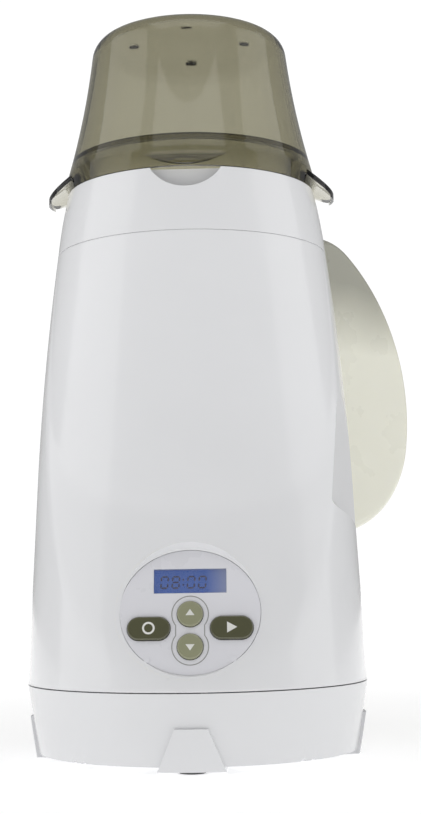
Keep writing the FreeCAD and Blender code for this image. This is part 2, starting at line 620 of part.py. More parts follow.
# ---------------------------------------------------------------- water way from the tank
def tank_socket():
    cup = turned("socket_cup", [
        ("nipple_bore_r", "nipple_low_z"), ("nipple_r", "nipple_low_z"), ("nipple_r", "socket_low_z"),
        ("socket_r", "socket_low_z"), ("socket_r", "socket_top_z"), ("socket_bore_r", "socket_top_z"),
        ("socket_bore_r", "ring_z + groove_half"), ("groove_r", "ring_z + groove_half"),
        ("groove_r", "ring_z - groove_half"), ("socket_bore_r", "ring_z - groove_half"),
        ("socket_bore_r", "socket_cup_z"), ("nipple_bore_r", "socket_cup_z")])
    pin = cylinder("push_pin", "push_pin_r", "push_pin_z - socket_low_z - 0.6", z="socket_low_z + 0.6")
    bridge = box("pin_bridge", "nipple_r + nipple_r", "1", "1.6", x="0 - nipple_r", y="0 - 0.5",
                 z="socket_low_z + 0.6")
    whole = fuse("socket_whole", cup, pin, bridge)
    return on_tank("tank_socket", group("socket_placed", [put(whole, x="spout_out")]))


def socket_ring():
    ring = doc.addObject("Part::Torus", "socket_ring_form")
    bind(ring, Radius1="spout_r + ring_section_r + ring_play", Radius2="ring_section_r")
    put(ring, x="spout_out", z="ring_z")
    return on_tank("socket_ring", ring)


def water_hose():
    """A hose that drops from the socket, bends once and runs level to the boiler's inlet."""
    path = Part.Wire(hose_edges())
    tube = doc.addObject("Part::Feature", "hose_tube")
    outer = hose_solid(path, amount("hose_r"))
    inner = hose_solid(path, amount("hose_bore_r"))
    tube.Shape = outer.cut(inner)
    return on_tank("water_hose", tube)


def hose_edges():
    down_x = amount("spout_out")
    low = amount("stub_z")
    bend = amount("hose_bend")
    top = Vector(down_x, 0, amount("socket_low_z - 0.2"))
    corner_top = Vector(down_x, 0, low + bend)
    middle = Vector(down_x - bend * (1 - math.sqrt(0.5)), 0, low + bend * (1 - math.sqrt(0.5)))
    corner_side = Vector(down_x - bend, 0, low)
    end = Vector(amount("hose_end"), 0, low)
    return [Part.makeLine(top, corner_top), Part.Arc(corner_top, middle, corner_side).toShape(),
            Part.makeLine(corner_side, end)]


def hose_solid(path, radius):
    start = Part.makeCircle(radius, path.Vertexes[0].Point, Vector(0, 0, 1))
    return path.makePipeShell([Part.Wire([start])], True, True)


def hose_clips():
    bands = []
    for number, (x, z, turn) in enumerate((("spout_out", "nipple_low_z + 1", "0"),
                                           ("hose_end + 1", "stub_z", "90"))):
        band = cut("clip_band_%d" % number,
                   cylinder("clip_outer_%d" % number, "hose_r + clip_thick", "clip_wide"),
                   cylinder("clip_inner_%d" % number, "hose_r", "clip_wide"))
        bands.append(put(band, x=x, z=z, axis=(0, 1, 0), turn=turn))
    return on_tank("hose_clips", group("clip_set", bands))


# ---------------------------------------------------------------- control panel
def pill(name, across, high, low, up, u="0", v="0"):
    """A block with round ends, as wide as across and as tall as high, on the panel."""
    middle = less(across, high)
    straight = box(name + "_bar", middle, high, "%s + %s" % (up, low))
    straight.Placement.Base = Vector(-amount(middle) / 2, -amount(high) / 2, 0)
    ends = []
    for side in (-1, 1):
        end = cylinder("%s_end_%d" % (name, side + 1), high, "%s + %s" % (up, low))
        end.setExpression("Radius", "(%s) / 2" % formula(high))
        end.Placement.Base = Vector(side * amount(middle) / 2, 0, 0)
        ends.append(end)
    block = fuse(name, straight, *ends)
    return put(group(name + "_placed", [block]), x=u, y=v, z=less("0", low))


def eased(name, block, height, size):
    """Rounds the top edge of a block whose top is at the given height."""
    doc.recompute()
    edges = []
    for number, edge in enumerate(block.Shape.Edges, start=1):
        if abs(edge.BoundBox.ZMin - height) < 1e-4 and abs(edge.BoundBox.ZMax - height) < 1e-4:
            edges.append((number, size, size))
    item = doc.addObject("Part::Fillet", name)
    item.Base = block
    item.Edges = edges
    return item


def control_panel():
    plate = panel_oval("panel_plate", "panel_a", "panel_b", "0 - panel_thick", "0")
    screen = box("screen_hole", "glass_w", "glass_h", "9", z="0 - 5")
    screen.Placement.Base = Vector(-amount("glass_w") / 2, amount("glass_v") - amount("glass_h") / 2, -5)
    holes = [screen]
    for name, v in (("up", "round_up_v"), ("down", "round_down_v")):
        holes.append(cylinder("hole_" + name, "round_r + button_gap", "9", y=v, z="0 - 5"))
    for name, u in (("stop", "0 - pill_u"), ("start", "pill_u")):
        holes.append(pill("hole_" + name, "pill_w + button_gap + button_gap",
                          "pill_h + button_gap + button_gap", "5", "4", u, "pill_v"))
    posts = []
    bores = []
    for number, (u, v) in enumerate(post_places()):
        posts.append(cylinder("post_%d" % number, "post_r", "board_front - panel_thick + 0.2",
                              x=u, y=v, z="0 - board_front"))
        bores.append(cylinder("post_bore_%d" % number, "post_hole_r", "post_bore", x=u, y=v,
                              z="0 - board_front"))
    nubs = [cylinder("nub_%d" % number, "nub_r", "nub_proud + 0.5", x=u, y="nub_v", z="0 - 0.5")
            for number, u in enumerate(("0 - nub_u", "nub_u"))]
    whole = fuse("panel_whole", plate, *posts, *nubs)
    return on_panel("control_panel", cut("panel_cut", whole, *holes, *bores))


def post_places():
    return (("0 - post_low_u", "post_low_v"), ("post_low_u", "post_low_v"),
            ("0 - post_high_u", "post_high_v"), ("post_high_u", "post_high_v"))


def display_window():
    item = box("window_form", "glass_w - 0.2", "glass_h - 0.2", "glass_thick")
    item.Placement.Base = Vector(-amount("glass_w - 0.2") / 2,
                                 amount("glass_v") - amount("glass_h - 0.2") / 2,
                                 -amount("glass_thick + glass_set"))
    return on_panel("display_window", item)


def display_module():
    item = box("display_form", "display_w", "display_h", "display_thick")
    item.Placement.Base = Vector(-amount("display_w") / 2, amount("glass_v") - amount("display_h") / 2,
                                 -amount("display_front + display_thick"))
    return on_panel("display_module", item)


def display_frame():
    depth = "board_front - display_front - display_thick"
    outer = box("frame_outer", "display_w", "display_h", depth)
    outer.Placement.Base = Vector(-amount("display_w") / 2, amount("glass_v") - amount("display_h") / 2,
                                  -amount("board_front"))
    across = "display_w - frame_wall - frame_wall"
    high = "display_h - frame_wall - frame_wall"
    inner = box("frame_inner", across, high, "20")
    inner.Placement.Base = Vector(-amount(across) / 2, amount("glass_v") - amount(high) / 2, -18)
    return on_panel("display_frame", cut("frame_cut", outer, inner))


def round_button(node, v):
    cap = cylinder(node + "_cap", "round_r", "button_proud + panel_thick + button_stop",
                   z="0 - panel_thick - button_stop")
    cap = eased(node + "_eased", cap, amount("button_proud"), amount("button_edge"))
    flange = cylinder(node + "_flange", "round_r + round_brim", "button_flange",
                      z="0 - panel_thick - button_stop - button_flange")
    stem = cylinder(node + "_stem", "stem_r", "stem_end - panel_thick", z="0 - stem_end")
    whole = fuse(node + "_whole", cap, flange, stem)
    return on_panel(node, group(node + "_placed", [put(whole, y=v)]))


def pill_button(node, u):
    cap = pill(node + "_cap", "pill_w", "pill_h", "panel_thick + button_stop", "button_proud")
    cap = eased(node + "_eased", cap, amount("button_proud"), amount("button_edge"))
    flange = pill(node + "_flange", "pill_w + pill_brim + pill_brim", "pill_h + pill_brim + pill_brim",
                  "panel_thick + button_stop + button_flange", "0 - panel_thick - button_stop")
    stem = cylinder(node + "_stem", "stem_r", "stem_end - panel_thick", z="0 - stem_end")
    whole = fuse(node + "_whole", cap, flange, stem)
    return on_panel(node, group(node + "_placed", [put(whole, x=u, y="pill_v")]))


def switch_places():
    return (("0", "round_up_v"), ("0", "round_down_v"), ("0 - pill_u", "pill_v"), ("pill_u", "pill_v"))


def key_switches():
    switches = []
    for number, (u, v) in enumerate(switch_places()):
        can = box("switch_can_%d" % number, "switch_side", "switch_side", "switch_high")
        can.Placement.Base = Vector(-amount("switch_side") / 2, -amount("switch_side") / 2, 0)
        pin = cylinder("switch_pin_%d" % number, "switch_pin_r", "switch_high + switch_pin")
        switches.append(put(fuse("switch_%d" % number, can, pin), x=u, y=v, z="0 - board_front"))
    return on_panel("key_switches", group("switch_set", switches))


def control_board():
    board = box("board_form", "board_w", "board_h", "board_thick")
    board.Placement.Base = Vector(-amount("board_w") / 2, amount("board_v") - amount("board_h") / 2,
                                  -amount("board_front + board_thick"))
    holes = [cylinder("board_hole_%d" % number, "post_hole_r + 0.1", "9", x=u, y=v, z="0 - 16")
             for number, (u, v) in enumerate(post_places())]
    return on_panel("control_board", cut("board_cut", board, *holes))


def board_screws():
    screws = []
    for number, (u, v) in enumerate(post_places()):
        head = cylinder("board_head_%d" % number, "board_head_r", "board_head",
                        z="0 - board_front - board_thick - board_head")
        shank = cylinder("board_shank_%d" % number, "post_hole_r - 0.02", "board_shank",
                         z="0 - board_front - board_thick")
        screws.append(put(fuse("board_screw_%d" % number, head, shank), x=u, y=v))
    return on_panel("board_screws", group("board_screw_set", screws))


def buzzer():
    can = cylinder("buzzer_can", "buzzer_r", "buzzer_high", y="buzzer_v",
                   z="0 - board_front - board_thick - buzzer_high")
    return on_panel("buzzer", can)


# ---------------------------------------------------------------- power board in the tray
def centred_box(name, across, deep, high, x, y, z):
    item = box(name, across, deep, high)
    item.Placement.Base = Vector(amount(x) - amount(across) / 2, amount(y) - amount(deep) / 2, amount(z))
    return item


def power_board():
    board = centred_box("power_form", "power_w", "power_h", "board_thick", "0", "power_y", "power_z")
    legs = [cylinder("power_leg_%d" % number, "leg_r", "power_z - floor_top_z", x=x,
                     y=y, z="floor_top_z")
            for number, (x, y) in enumerate((("24", "power_y + 12"), ("0 - 24", "power_y + 12"),
                                             ("24", "power_y - 12"), ("0 - 24", "power_y - 12")))]
    return on_axis("power_board", fuse("power_whole", board, *legs))


def power_relay():
    return on_axis("power_relay", centred_box("relay_form", "relay_w", "relay_h", "relay_high", "14",
                                              "power_y", "power_z + board_thick"))


def power_capacitor():
    can = cylinder("capacitor_form", "cap_r", "cap_high", x="0 - 4", y="power_y + 8",
                   z="power_z + board_thick")
    return on_axis("power_capacitor", can)


def terminal_block():
    return on_axis("terminal_block", centred_box("terminal_form", "terminal_w", "terminal_h",
                                                 "terminal_high", "0 - 18", "power_y - 6",
                                                 "power_z + board_thick"))


# ---------------------------------------------------------------- basket that carries the bottle
def bottle_basket():
    cup = turned("basket_cup", [
        ("0", "basket_low_z"), ("basket_out_r", "basket_low_z"), ("basket_out_r", "basket_rim_z"),
        ("basket_rim_r", "basket_rim_z"), ("basket_rim_r", "basket_top_z"),
        ("basket_r", "basket_top_z"), ("basket_r", "basket_floor_z"), ("0", "basket_floor_z")])
    loops = cut("handle_ring", cylinder("handle_outer", "handle_out_r", "handle_top_z - basket_rim_z",
                                        z="basket_rim_z"),
                cylinder("handle_inner", "handle_in_r", "40", z="basket_rim_z - 1"))
    slab = box("handle_slab", "110", "handle_half + handle_half", "60", x="0 - 55",
               y="0 - handle_half", z="basket_rim_z")
    grip = cylinder("handle_grip", "handle_slot", "120", x="0 - 60",
                    z="handle_top_z - handle_slot - 2.5", axis=(0, 1, 0), turn="90")
    handles = cut("handle_gripped", common("handles", loops, slab), grip)
    slots = []
    for number in range(4):
        slot = box("basket_slot_%d" % number, "100", "slot_w", "slot_top_z - slot_low_z")
        slot.Placement.Base = Vector(-50, -amount("slot_w") / 2, amount("slot_low_z"))
        slot = group("basket_slot_mid_%d" % number, [slot])
        slot.Placement = Placement(Vector(), Rotation(Vector(0, 0, 1), 45 * number + 22.5))
        slots.append(slot)
    drains = [on_ring(cylinder("basket_drain_%d" % number, "drain_r", "8"), 60 * number, "22",
                      "basket_low_z - 2") for number in range(6)]
    drains.append(cylinder("basket_drain_mid", "drain_r + 3", "8", z="basket_low_z - 2"))
    return on_axis("bottle_basket", cut("basket_cut", fuse("basket_whole", cup, handles), *slots,
                                        *drains))


# ---------------------------------------------------------------- lid
def steam_lid():
    dome = turned("lid_dome", [
        ("0", "lid_crown_z - lid_wall"), ("0", "lid_crown_z"), ("lid_roof_r", "lid_roof_z"),
        ("lid_high_r", "lid_high_z", "lid_round_r", "lid_round_z"),
        ("lid_side_r", "lid_side_z", "lid_bow_r", "lid_bow_z"),
        ("lid_edge_r", "lid_edge_z"), ("lid_rim_r", "lid_seat_z"),
        ("lid_rim_r - lid_wall", "lid_seat_z"), ("skirt_in_r", "shelf_low_z"),
        ("spigot_r", "shelf_low_z"), ("spigot_r", "spigot_low_z"),
        ("spigot_in_r", "spigot_low_z"), ("spigot_in_r", "shelf_z"), ("shelf_out_r", "shelf_z"),
        ("lid_high_r - lid_wall", "lid_high_z - 0.6", "lid_bow_r - lid_wall", "lid_bow_z - 0.2"),
        ("lid_roof_r - 0.4", "lid_roof_z - lid_wall", "lid_round_r - 1.7", "lid_round_z - 1.5")])
    ears = [cylinder("ear_%d" % number, "ear_r", "20", x=x, z="ear_low_z")
            for number, x in enumerate(("ear_x", "0 - ear_x"))]
    slope = turned("ear_slope", [
        ("tab_in", "lid_edge_z + 0.8"), ("tab_in", "ear_root_z"),
        ("ear_tip_r - ear_lip", "ear_under_z"), ("ear_tip_r - ear_lip", "ear_low_z"),
        ("ear_tip_r", "ear_low_z"), ("ear_tip_r", "ear_tip_z")])
    wing = common("ear_wings", fuse("ears", *ears), slope)
    tab = common("front_tab", cylinder("tab_round", "tab_r", "30", y="0 - 35", z="tab_z",
                                       axis=(1, 0, 0), turn="90"),
                 turned("tab_lip", [
                     ("tab_in", "tab_low_z"), ("tab_out", "tab_low_z"), ("tab_out", "tab_lip_z"),
                     ("lid_edge_r - 0.5", "lid_edge_z"), ("tab_in", "lid_edge_z")]))
    vents = [on_ring(cylinder("vent_%d" % angle, "vent_r", "20"), angle, "vent_ring_r",
                     "lid_roof_z - 12") for angle in (0, 90, 180, 270)]
    return on_axis("steam_lid", cut("lid_cut", fuse("lid_whole", dome, wing, tab), *vents))


# ---------------------------------------------------------------- water tank
def arc_piece(middle, radius, start, end):
    """An arc about a point, anticlockwise between two angles in radians."""
    return Part.ArcOfCircle(Part.Circle(middle, Vector(0, 0, 1), radius), start, end)


def tank_outline(sketch):
    """A flat back, level top and foot, and three arcs that run smoothly into each other."""
    root = amount("tank_root")
    top = amount("tank_top_z")
    low = amount("tank_low_z")
    radii = [amount(name) for name in ("tank_keel_r", "tank_belly_r", "tank_shoulder_r")]
    keel, belly, shoulder = radii
    belly_mid = Vector(amount("tank_out") - belly, amount("tank_belly_z"), 0)
    shoulder_up = top - shoulder - belly_mid.y
    shoulder_mid = belly_mid + Vector(math.sqrt((belly - shoulder) ** 2 - shoulder_up ** 2), shoulder_up, 0)
    keel_up = low + keel - belly_mid.y
    keel_mid = belly_mid + Vector(math.sqrt((belly - keel) ** 2 - keel_up ** 2), keel_up, 0)
    lower = math.atan2(keel_up, keel_mid.x - belly_mid.x)
    upper = math.atan2(shoulder_up, shoulder_mid.x - belly_mid.x)
    edges = [Part.LineSegment(Vector(root, low, 0), Vector(keel_mid.x, low, 0)),
             arc_piece(keel_mid, keel, -math.pi / 2, lower),
             arc_piece(belly_mid, belly, lower, upper),
             arc_piece(shoulder_mid, shoulder, upper, math.pi / 2),
             Part.LineSegment(Vector(shoulder_mid.x, top, 0), Vector(root, top, 0)),
             Part.LineSegment(Vector(root, top, 0), Vector(root, low, 0))]
    for edge in edges:
        sketch.addGeometry(edge, False)
    for first in range(4):
        sketch.addConstraint(Sketcher.Constraint("Tangent", first, 2, first + 1, 1))
    sketch.addConstraint(Sketcher.Constraint("Coincident", 4, 2, 5, 1))
    sketch.addConstraint(Sketcher.Constraint("Coincident", 5, 2, 0, 1))
    for index, name in ((1, "tank_keel_r"), (2, "tank_belly_r"), (3, "tank_shoulder_r")):
        number = sketch.addConstraint(Sketcher.Constraint("Radius", index, amount(name)))
        sketch.setExpression("Constraints[%d]" % number, formula(name))
    pin_point(sketch, 2, 3, ("tank_out - tank_belly_r", "tank_belly_z"))
    pin_point(sketch, 0, 1, ("tank_root", "tank_low_z"))
    pin_point(sketch, 4, 2, ("tank_root", "tank_top_z"))


def tank_form(name, inset):
    """The tank's D shape as a slab, inset all round by the given wall."""
    body = doc.addObject("PartDesign::Body", name + "_face")
    sketch = new_sketch(body, "XZ_Plane", name + "_outline")
    tank_outline(sketch)
    flat = sketch
    if inset != "0":
        flat = doc.addObject("Part::Offset2D", name + "_inset")
        flat.Source = sketch
        flat.Value = -amount(inset)
        flat.setExpression("Value", "-(%s)" % formula(inset))
    slab = doc.addObject("Part::Extrusion", name + "_slab")
    slab.Base = flat
    slab.Dir = Vector(0, 1, 0)
    slab.DirMode = "Custom"
    slab.Symmetric = True
    slab.Solid = True
    bind(slab, LengthFwd="tank_half + tank_half - %s - %s" % (inset, inset))
    return slab


def water_tank():
    slab = tank_form("tank_outer", "0")
    doc.recompute()
    edges = []
    for number, edge in enumerate(slab.Shape.Edges, start=1):
        bounds = edge.BoundBox
        on_face = abs(abs(bounds.YMin) - amount("tank_half")) < 1e-3 and bounds.YLength < 1e-3
        if on_face and bounds.XMax > amount("tank_root") + 1:
            edges.append((number, amount("tank_edge"), amount("tank_edge")))
    smooth = doc.addObject("Part::Fillet", "tank_smooth")
    smooth.Base = slab
    smooth.Edges = edges
    block = cut("tank_block", smooth, cylinder("tank_core", "tank_in_r", "260"))
    hollow = cut("tank_hollow", tank_form("tank_inner", "tank_wall"),
                 cylinder("tank_inner_core", "tank_in_r + tank_wall", "260"))
    spout = cylinder("tank_spout", "spout_r", "tank_low_z - spout_low_z + tank_wall",
                     x="spout_out", z="spout_low_z")
    inside_boss = cylinder("tank_spout_boss", "spout_r", "spout_seat_z - tank_low_z",
                           x="spout_out", z="tank_low_z")
    walls = cut("tank_walls", block, hollow)
    bores = [cylinder("spout_bore", "spout_bore_r", "spout_neck_z - spout_low_z + 1", x="spout_out",
                      z="spout_low_z - 1"),
             cylinder("spout_neck", "spout_neck_r", "30", x="spout_out", z="spout_low_z"),
             cylinder("valve_room", "valve_head_r + 0.4", "8", x="spout_out", z="spout_seat_z"),
             cylinder("plug_hole", "plug_r", "10", x="plug_out", y="tank_half + 1", z="plug_z",
                      axis=(1, 0, 0), turn="90")]
    whole = fuse("tank_whole", walls, spout, inside_boss)
    return on_tank("water_tank", cut("tank_cut", whole, *bores))


def tank_plug():
    body = cylinder("plug_body", "plug_r - 0.05", "plug_deep + plug_thick", z="0 - plug_deep")
    head = cylinder("plug_head", "plug_head_r", "plug_thick", z="0.1")
    whole = fuse("plug_whole", body, head)
    placed = put(whole, x="plug_out", y="tank_half", z="plug_z", axis=(1, 0, 0), turn="0 - 90")
    return on_tank("tank_plug", placed)


def valve_plunger():
    foot = cylinder("valve_foot", "stem_foot_r", "stem_foot", z="stem_low_z")
    stem = cylinder("valve_stem", "stem_thin_r", "spout_seat_z - stem_low_z", z="stem_low_z")
    head = cylinder("valve_top", "valve_head_r", "valve_head", z="spout_seat_z + valve_lift")
    neck = cylinder("valve_neck", "stem_thin_r", "2", z="spout_seat_z - 1")
    return on_tank("valve_plunger", group("valve_placed", [put(fuse("valve_whole", foot, stem, head, neck),
                                                               x="spout_out")]))


def valve_spring():
    helix = doc.addObject("Part::Helix", "spring_path")
    bind(helix, Radius="coil_spring_r", Pitch="coil_pitch",
         Height="spout_neck_z - stem_low_z - stem_foot - 0.6")
    ring = doc.addObject("Part::Circle", "spring_wire")
    bind(ring, Radius="coil_wire_r")
    ring.Placement = Placement(Vector(amount("coil_spring_r"), 0, 0), Rotation(Vector(1, 0, 0), 90))
    sweep = doc.addObject("Part::Sweep", "spring_coil")
    sweep.Sections = [ring]
    sweep.Spine = (helix, ["Edge1"])
    sweep.Solid = True
    sweep.Frenet = True
    placed = put(group("spring_lift", [sweep]), x="spout_out", z="stem_low_z + stem_foot + 0.3")
    return on_tank("valve_spring", placed)


# ---------------------------------------------------------------- build, check and write
def build_all():
    base_tray()
    rubber_feet()
    base_screws()
    cord_gland()
    main_housing()
    top_collar()
    steam_chamber()
    chamber_seal()
    boiler_dish()
    heating_element()
    thermostat()
    thermal_fuse()
    heat_shield()
    clamp_screws()
    tank_socket()
    socket_ring()
    water_hose()
    hose_clips()
    control_panel()
    display_window()
    display_module()
    display_frame()
    round_button("up_button", "round_up_v")
    round_button("down_button", "round_down_v")
    pill_button("stop_button", "0 - pill_u")
    pill_button("start_button", "pill_u")
    key_switches()
    control_board()
    board_screws()
    buzzer()
    power_board()
    power_relay()
    power_capacitor()
    terminal_block()
    bottle_basket()
    steam_lid()
    water_tank()
    tank_plug()
    valve_plunger()
    valve_spring()


def check_all():
    doc.recompute()
    for item in doc.Objects:
        state = set(item.State)
        if state & {"Invalid", "Error"}:
            raise RuntimeError("%s (%s) did not build: %s" % (item.Name, item.Label, item.State))
    for item in parts:
        if item.Shape.isNull() or not item.Shape.isValid() or not item.Shape.Solids:
            raise RuntimeError("%s has no sound shape" % item.Label)


def write_all():
    os.makedirs("parts", exist_ok=True)
    whole = FreeCAD.BoundBox()
    for item in parts:
        item.Shape.exportStep("parts/%s.step" % item.Label)
        whole.add(item.Shape.optimalBoundingBox(False))
        print("%-16s solids %2d volume %9.0f" % (item.Label, len(item.Shape.Solids), item.Shape.Volume))
    print("middle of the outline", round(whole.Center.x, 2), round(whole.Center.y, 2),
          "lowest", round(whole.ZMin, 3), "highest", round(whole.ZMax, 2))
    print("whole outline", round(whole.XLength, 1), round(whole.YLength, 1), round(whole.ZLength, 1))


build_all()
check_all()
write_all()
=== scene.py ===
"""Steam bottle warmer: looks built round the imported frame, in metres and in the frame's place."""

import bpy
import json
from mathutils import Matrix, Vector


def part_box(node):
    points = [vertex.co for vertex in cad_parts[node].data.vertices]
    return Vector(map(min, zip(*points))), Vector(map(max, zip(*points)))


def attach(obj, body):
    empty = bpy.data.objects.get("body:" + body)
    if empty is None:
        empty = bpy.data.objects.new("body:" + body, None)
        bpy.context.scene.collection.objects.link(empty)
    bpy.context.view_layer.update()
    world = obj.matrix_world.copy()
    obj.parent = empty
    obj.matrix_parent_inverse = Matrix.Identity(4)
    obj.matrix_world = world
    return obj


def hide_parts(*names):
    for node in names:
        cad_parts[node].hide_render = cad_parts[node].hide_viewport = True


bl_info = {
    "name": "Steam Bottle Warmer",
    "version": (1, 0, 0),
    "blender": (4, 5, 0),
    "location": "3D View > Sidebar > Warmer",
    "description": "Builds a steam bottle warmer with a smoked lid, a water tank and a timer panel",
    "category": "Object",
}

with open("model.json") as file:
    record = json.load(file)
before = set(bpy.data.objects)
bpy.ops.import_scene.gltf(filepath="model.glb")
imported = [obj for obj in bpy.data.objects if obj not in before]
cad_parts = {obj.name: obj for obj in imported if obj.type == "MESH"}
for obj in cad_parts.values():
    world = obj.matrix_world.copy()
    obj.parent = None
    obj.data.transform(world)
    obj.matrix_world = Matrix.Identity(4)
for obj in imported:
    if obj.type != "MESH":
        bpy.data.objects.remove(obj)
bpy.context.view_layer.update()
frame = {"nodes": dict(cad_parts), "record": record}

import json
import math

import bmesh
import bpy
from bpy.props import FloatProperty, FloatVectorProperty, IntProperty, PointerProperty
from mathutils import Matrix, Quaternion, Vector

MM = 0.001

# Tank bay and socket in the housing.
BAY_CORE = 58.4 * MM
BAY_HALF = 22 * MM
BAY_IN = 50 * MM
BAY_OUT = 94 * MM
BAY_FLOOR = 90.4 * MM
BAY_WALL = 3 * MM
BAY_ROOM = 0.5 * MM
KEY_HALF = 6 * MM
KEY_IN = 56.9 * MM
KEY_OUT = 87 * MM
SOCKET_R = 5.0 * MM
SOCKET_Z = (68 * MM, 88.8 * MM)
THROAT_R = 3.5 * MM
THROAT_Z = (82.8 * MM, 102.8 * MM)
CHAMBER_R = 42.3 * MM

# Panel seat, bowl and window, with levels out of the panel's face.
SEAT_LIP = 2.2 * MM
SEAT_LEVELS = (-5.5 * MM, 14 * MM)
BOWL_GAP = 0.15 * MM
BOWL_ROWS = ((0.0, -2.5 * MM), (0.0, 0.4 * MM), (0.5 * MM, 0.75 * MM), (3.6 * MM, 8 * MM))
WINDOW_IN = 0.9 * MM
WINDOW_DEEP = -20 * MM

# Figures on the display, and signs on the keys.
FIGURE = (3.2 * MM, 5.0 * MM, 0.62 * MM)
FIGURE_STEP = 4.3 * MM
FIGURE_LEFT = -11.6 * MM
FIGURE_LEAN = 0.08
FIGURE_LEVELS = (-2.58 * MM, -2.5 * MM)
TIME_SHOWN = ((0, 0), (1, 8), (2.35, 0), (3.35, 0))
COLON_STEP = 2.18
COLON_BACK = 0.75 * MM
SIGN_SUNK = 0.2 * MM
SIGN_PROUD = 0.06 * MM
ARROW = 1.7 * MM
ARROW_SHORT = 0.7 * MM
ARROW_LONG = 2.1 * MM
RING_R = 2.0 * MM
RING_WIDE = 0.75 * MM
GUIDE_R = 6.9 * MM
GUIDE_WIDE = 0.35 * MM
GUIDE_LEVELS = (-0.3 * MM, 0.07 * MM)


# ---------------------------------------------------------------- where things are
def middle(node):
    """Centre of a CAD node's box."""
    low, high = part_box(node)
    return (Vector(low) + Vector(high)) / 2


def axis_place():
    """Foot of the housing's upright axis."""
    spot = middle("steam_chamber")
    return Vector((spot.x, spot.y, 0.0))


AXIS = axis_place()


def on_axis(radius, angle, z):
    """A point about the housing's axis: metres, radians, metres."""
    return Vector((AXIS.x + radius * math.cos(angle), AXIS.y + radius * math.sin(angle), z))


# ---------------------------------------------------------------- sizes and colours
def length(name, text, value, low=0.0):
    return FloatProperty(name=name, description=text, default=value, min=low, soft_max=0.4,
                         unit="LENGTH", subtype="DISTANCE", precision=5)


def place(name, text, value):
    return FloatProperty(name=name, description=text, default=value, unit="LENGTH",
                         subtype="DISTANCE", precision=5)


def angle(name, text, degrees):
    return FloatProperty(name=name, description=text, default=math.radians(degrees),
                         unit="ROTATION", subtype="ANGLE")


def share(name, text, value):
    return FloatProperty(name=name, description=text, default=value, min=0.0, max=1.0,
                         subtype="FACTOR")


def number(name, text, value, top, low=0.0):
    return FloatProperty(name=name, description=text, default=value, min=low, max=top)


def colour(name, text, value):
    return FloatVectorProperty(name=name, description=text, default=value, size=3, min=0.0,
                               max=1.0, subtype="COLOR")


class WarmerHousing(bpy.types.PropertyGroup):
    low_z: place("Lowest", "Height where the housing starts above the tray", 0.0303)
    top_z: place("Top", "Height of the seam under the collar", 0.208)
    low_r: length("Foot radius", "Radius at the foot of the housing", 0.0699)
    taper: number("Taper", "Radius lost per unit of height low down", 0.0502, 0.5)
    bow_z: place("Bow height", "Height above which the sides curve in", 0.110)
    bow_taper: number("Bow taper", "Radius lost per unit of height above the bow height", 0.05, 0.5)
    bow: number("Bow", "How fast the sides curve in above the bow height", 0.427, 2.0)
    saddle_r: length("Saddle radius", "Radius of the broad round at the lower front", 0.085)
    saddle_y: place("Saddle back", "How far behind the axis the saddle's own axis runs", 0.0282)
    saddle_z: place("Saddle height", "Height at which the saddle's place is given", 0.093)
    saddle_lean: angle("Saddle lean", "Lean of the saddle's axis", 11.12)
    shield_top_r: length("Shield top radius", "Radius of the front shield at the seam", 0.0569)
    shield_out: length("Shield growth", "Growth of its radius at the reference height", 0.0198)
    shield_back: place("Shield back", "Shift of its centre at the reference height", 0.0191)
    shield_fall: length("Shield fall", "Drop from the seam to the reference height", 0.115)
    crease: length("Crease", "Softness of the creases between the housing's faces", 0.0007)
    sweep: length("Sweep", "Softness of the hollow where shield and saddle meet", 0.0005)
    seam: length("Seam", "Depth of the bevel along the upper and lower seams", 0.0005)
    wall: length("Wall", "Thickness of the moulded wall", 0.0026)
    edge: length("Edge", "Rounding of the collar's edges", 0.0005)
    facet_in: length("Facet", "Distance of the flat beside the tank from the axis", 0.0636)
    facet_angle: angle("Facet angle", "Direction that the flat faces", -17.5)
    facet_z: place("Facet floor", "Height of the ledge under the flat", 0.096)
    facet_slope: angle("Facet slope", "Slope of the ledge", 14.2)
    facet_soft: length("Facet rounding", "Rounding of the hollow where flat and ledge meet", 0.0025)
    well_r: length("Well radius", "Radius of the hole at the top", 0.046)
    gloss: share("Roughness", "Roughness of the white plastic", 0.2)
    white: colour("White", "Colour of the housing, tray and collar", (0.83, 0.835, 0.85))


class WarmerPanel(bpy.types.PropertyGroup):
    out_y: place("Place", "Distance of the panel's middle in front of the axis", -0.062)
    z: place("Height", "Height of the panel's middle", 0.0598)
    lean: angle("Lean", "How far the panel leans back", 14.5)
    across: length("Half width", "Half the panel's width", 0.0266)
    up: length("Half height", "Half the panel's height", 0.0239)
    glass_w: length("Window width", "Width of the display window", 0.0276)
    glass_v: place("Window place", "Height of the window above the panel's middle", 0.012)
    key_r: length("Round key", "Radius of the two round keys", 0.0049)
    up_v: place("Upper key", "Place of the upper round key", -0.0008)
    down_v: place("Lower key", "Place of the lower round key", -0.0132)
    pill_u: place("Side keys", "How far the two long keys stand to the sides", 0.0156)
    pill_v: place("Side key height", "Place of the two long keys", -0.0062)
    key_top: length("Key height", "How far the keys stand out of the panel", 0.0013)
    edge: length("Edge", "Rounding of the plate's edges", 0.00025)
    grey: colour("Panel", "Colour of the panel plate", (0.80, 0.80, 0.84))
    blue: colour("Display", "Colour of the lit display", (0.035, 0.085, 0.30))
    sage: colour("Round keys", "Colour of the round keys", (0.30, 0.305, 0.19))
    olive: colour("Side keys", "Colour of the long keys", (0.075, 0.075, 0.03))


class WarmerLid(bpy.types.PropertyGroup):
    smoke: colour("Smoke", "Colour that the smoked plastic lets through", (0.34, 0.31, 0.14))
    depth: number("Depth", "How strongly the plastic darkens with thickness", 400.0, 3000.0)
    gloss: share("Roughness", "Roughness of the lid", 0.045)
    soft: length("Edge", "Rounding of the lid's edges", 0.0004)


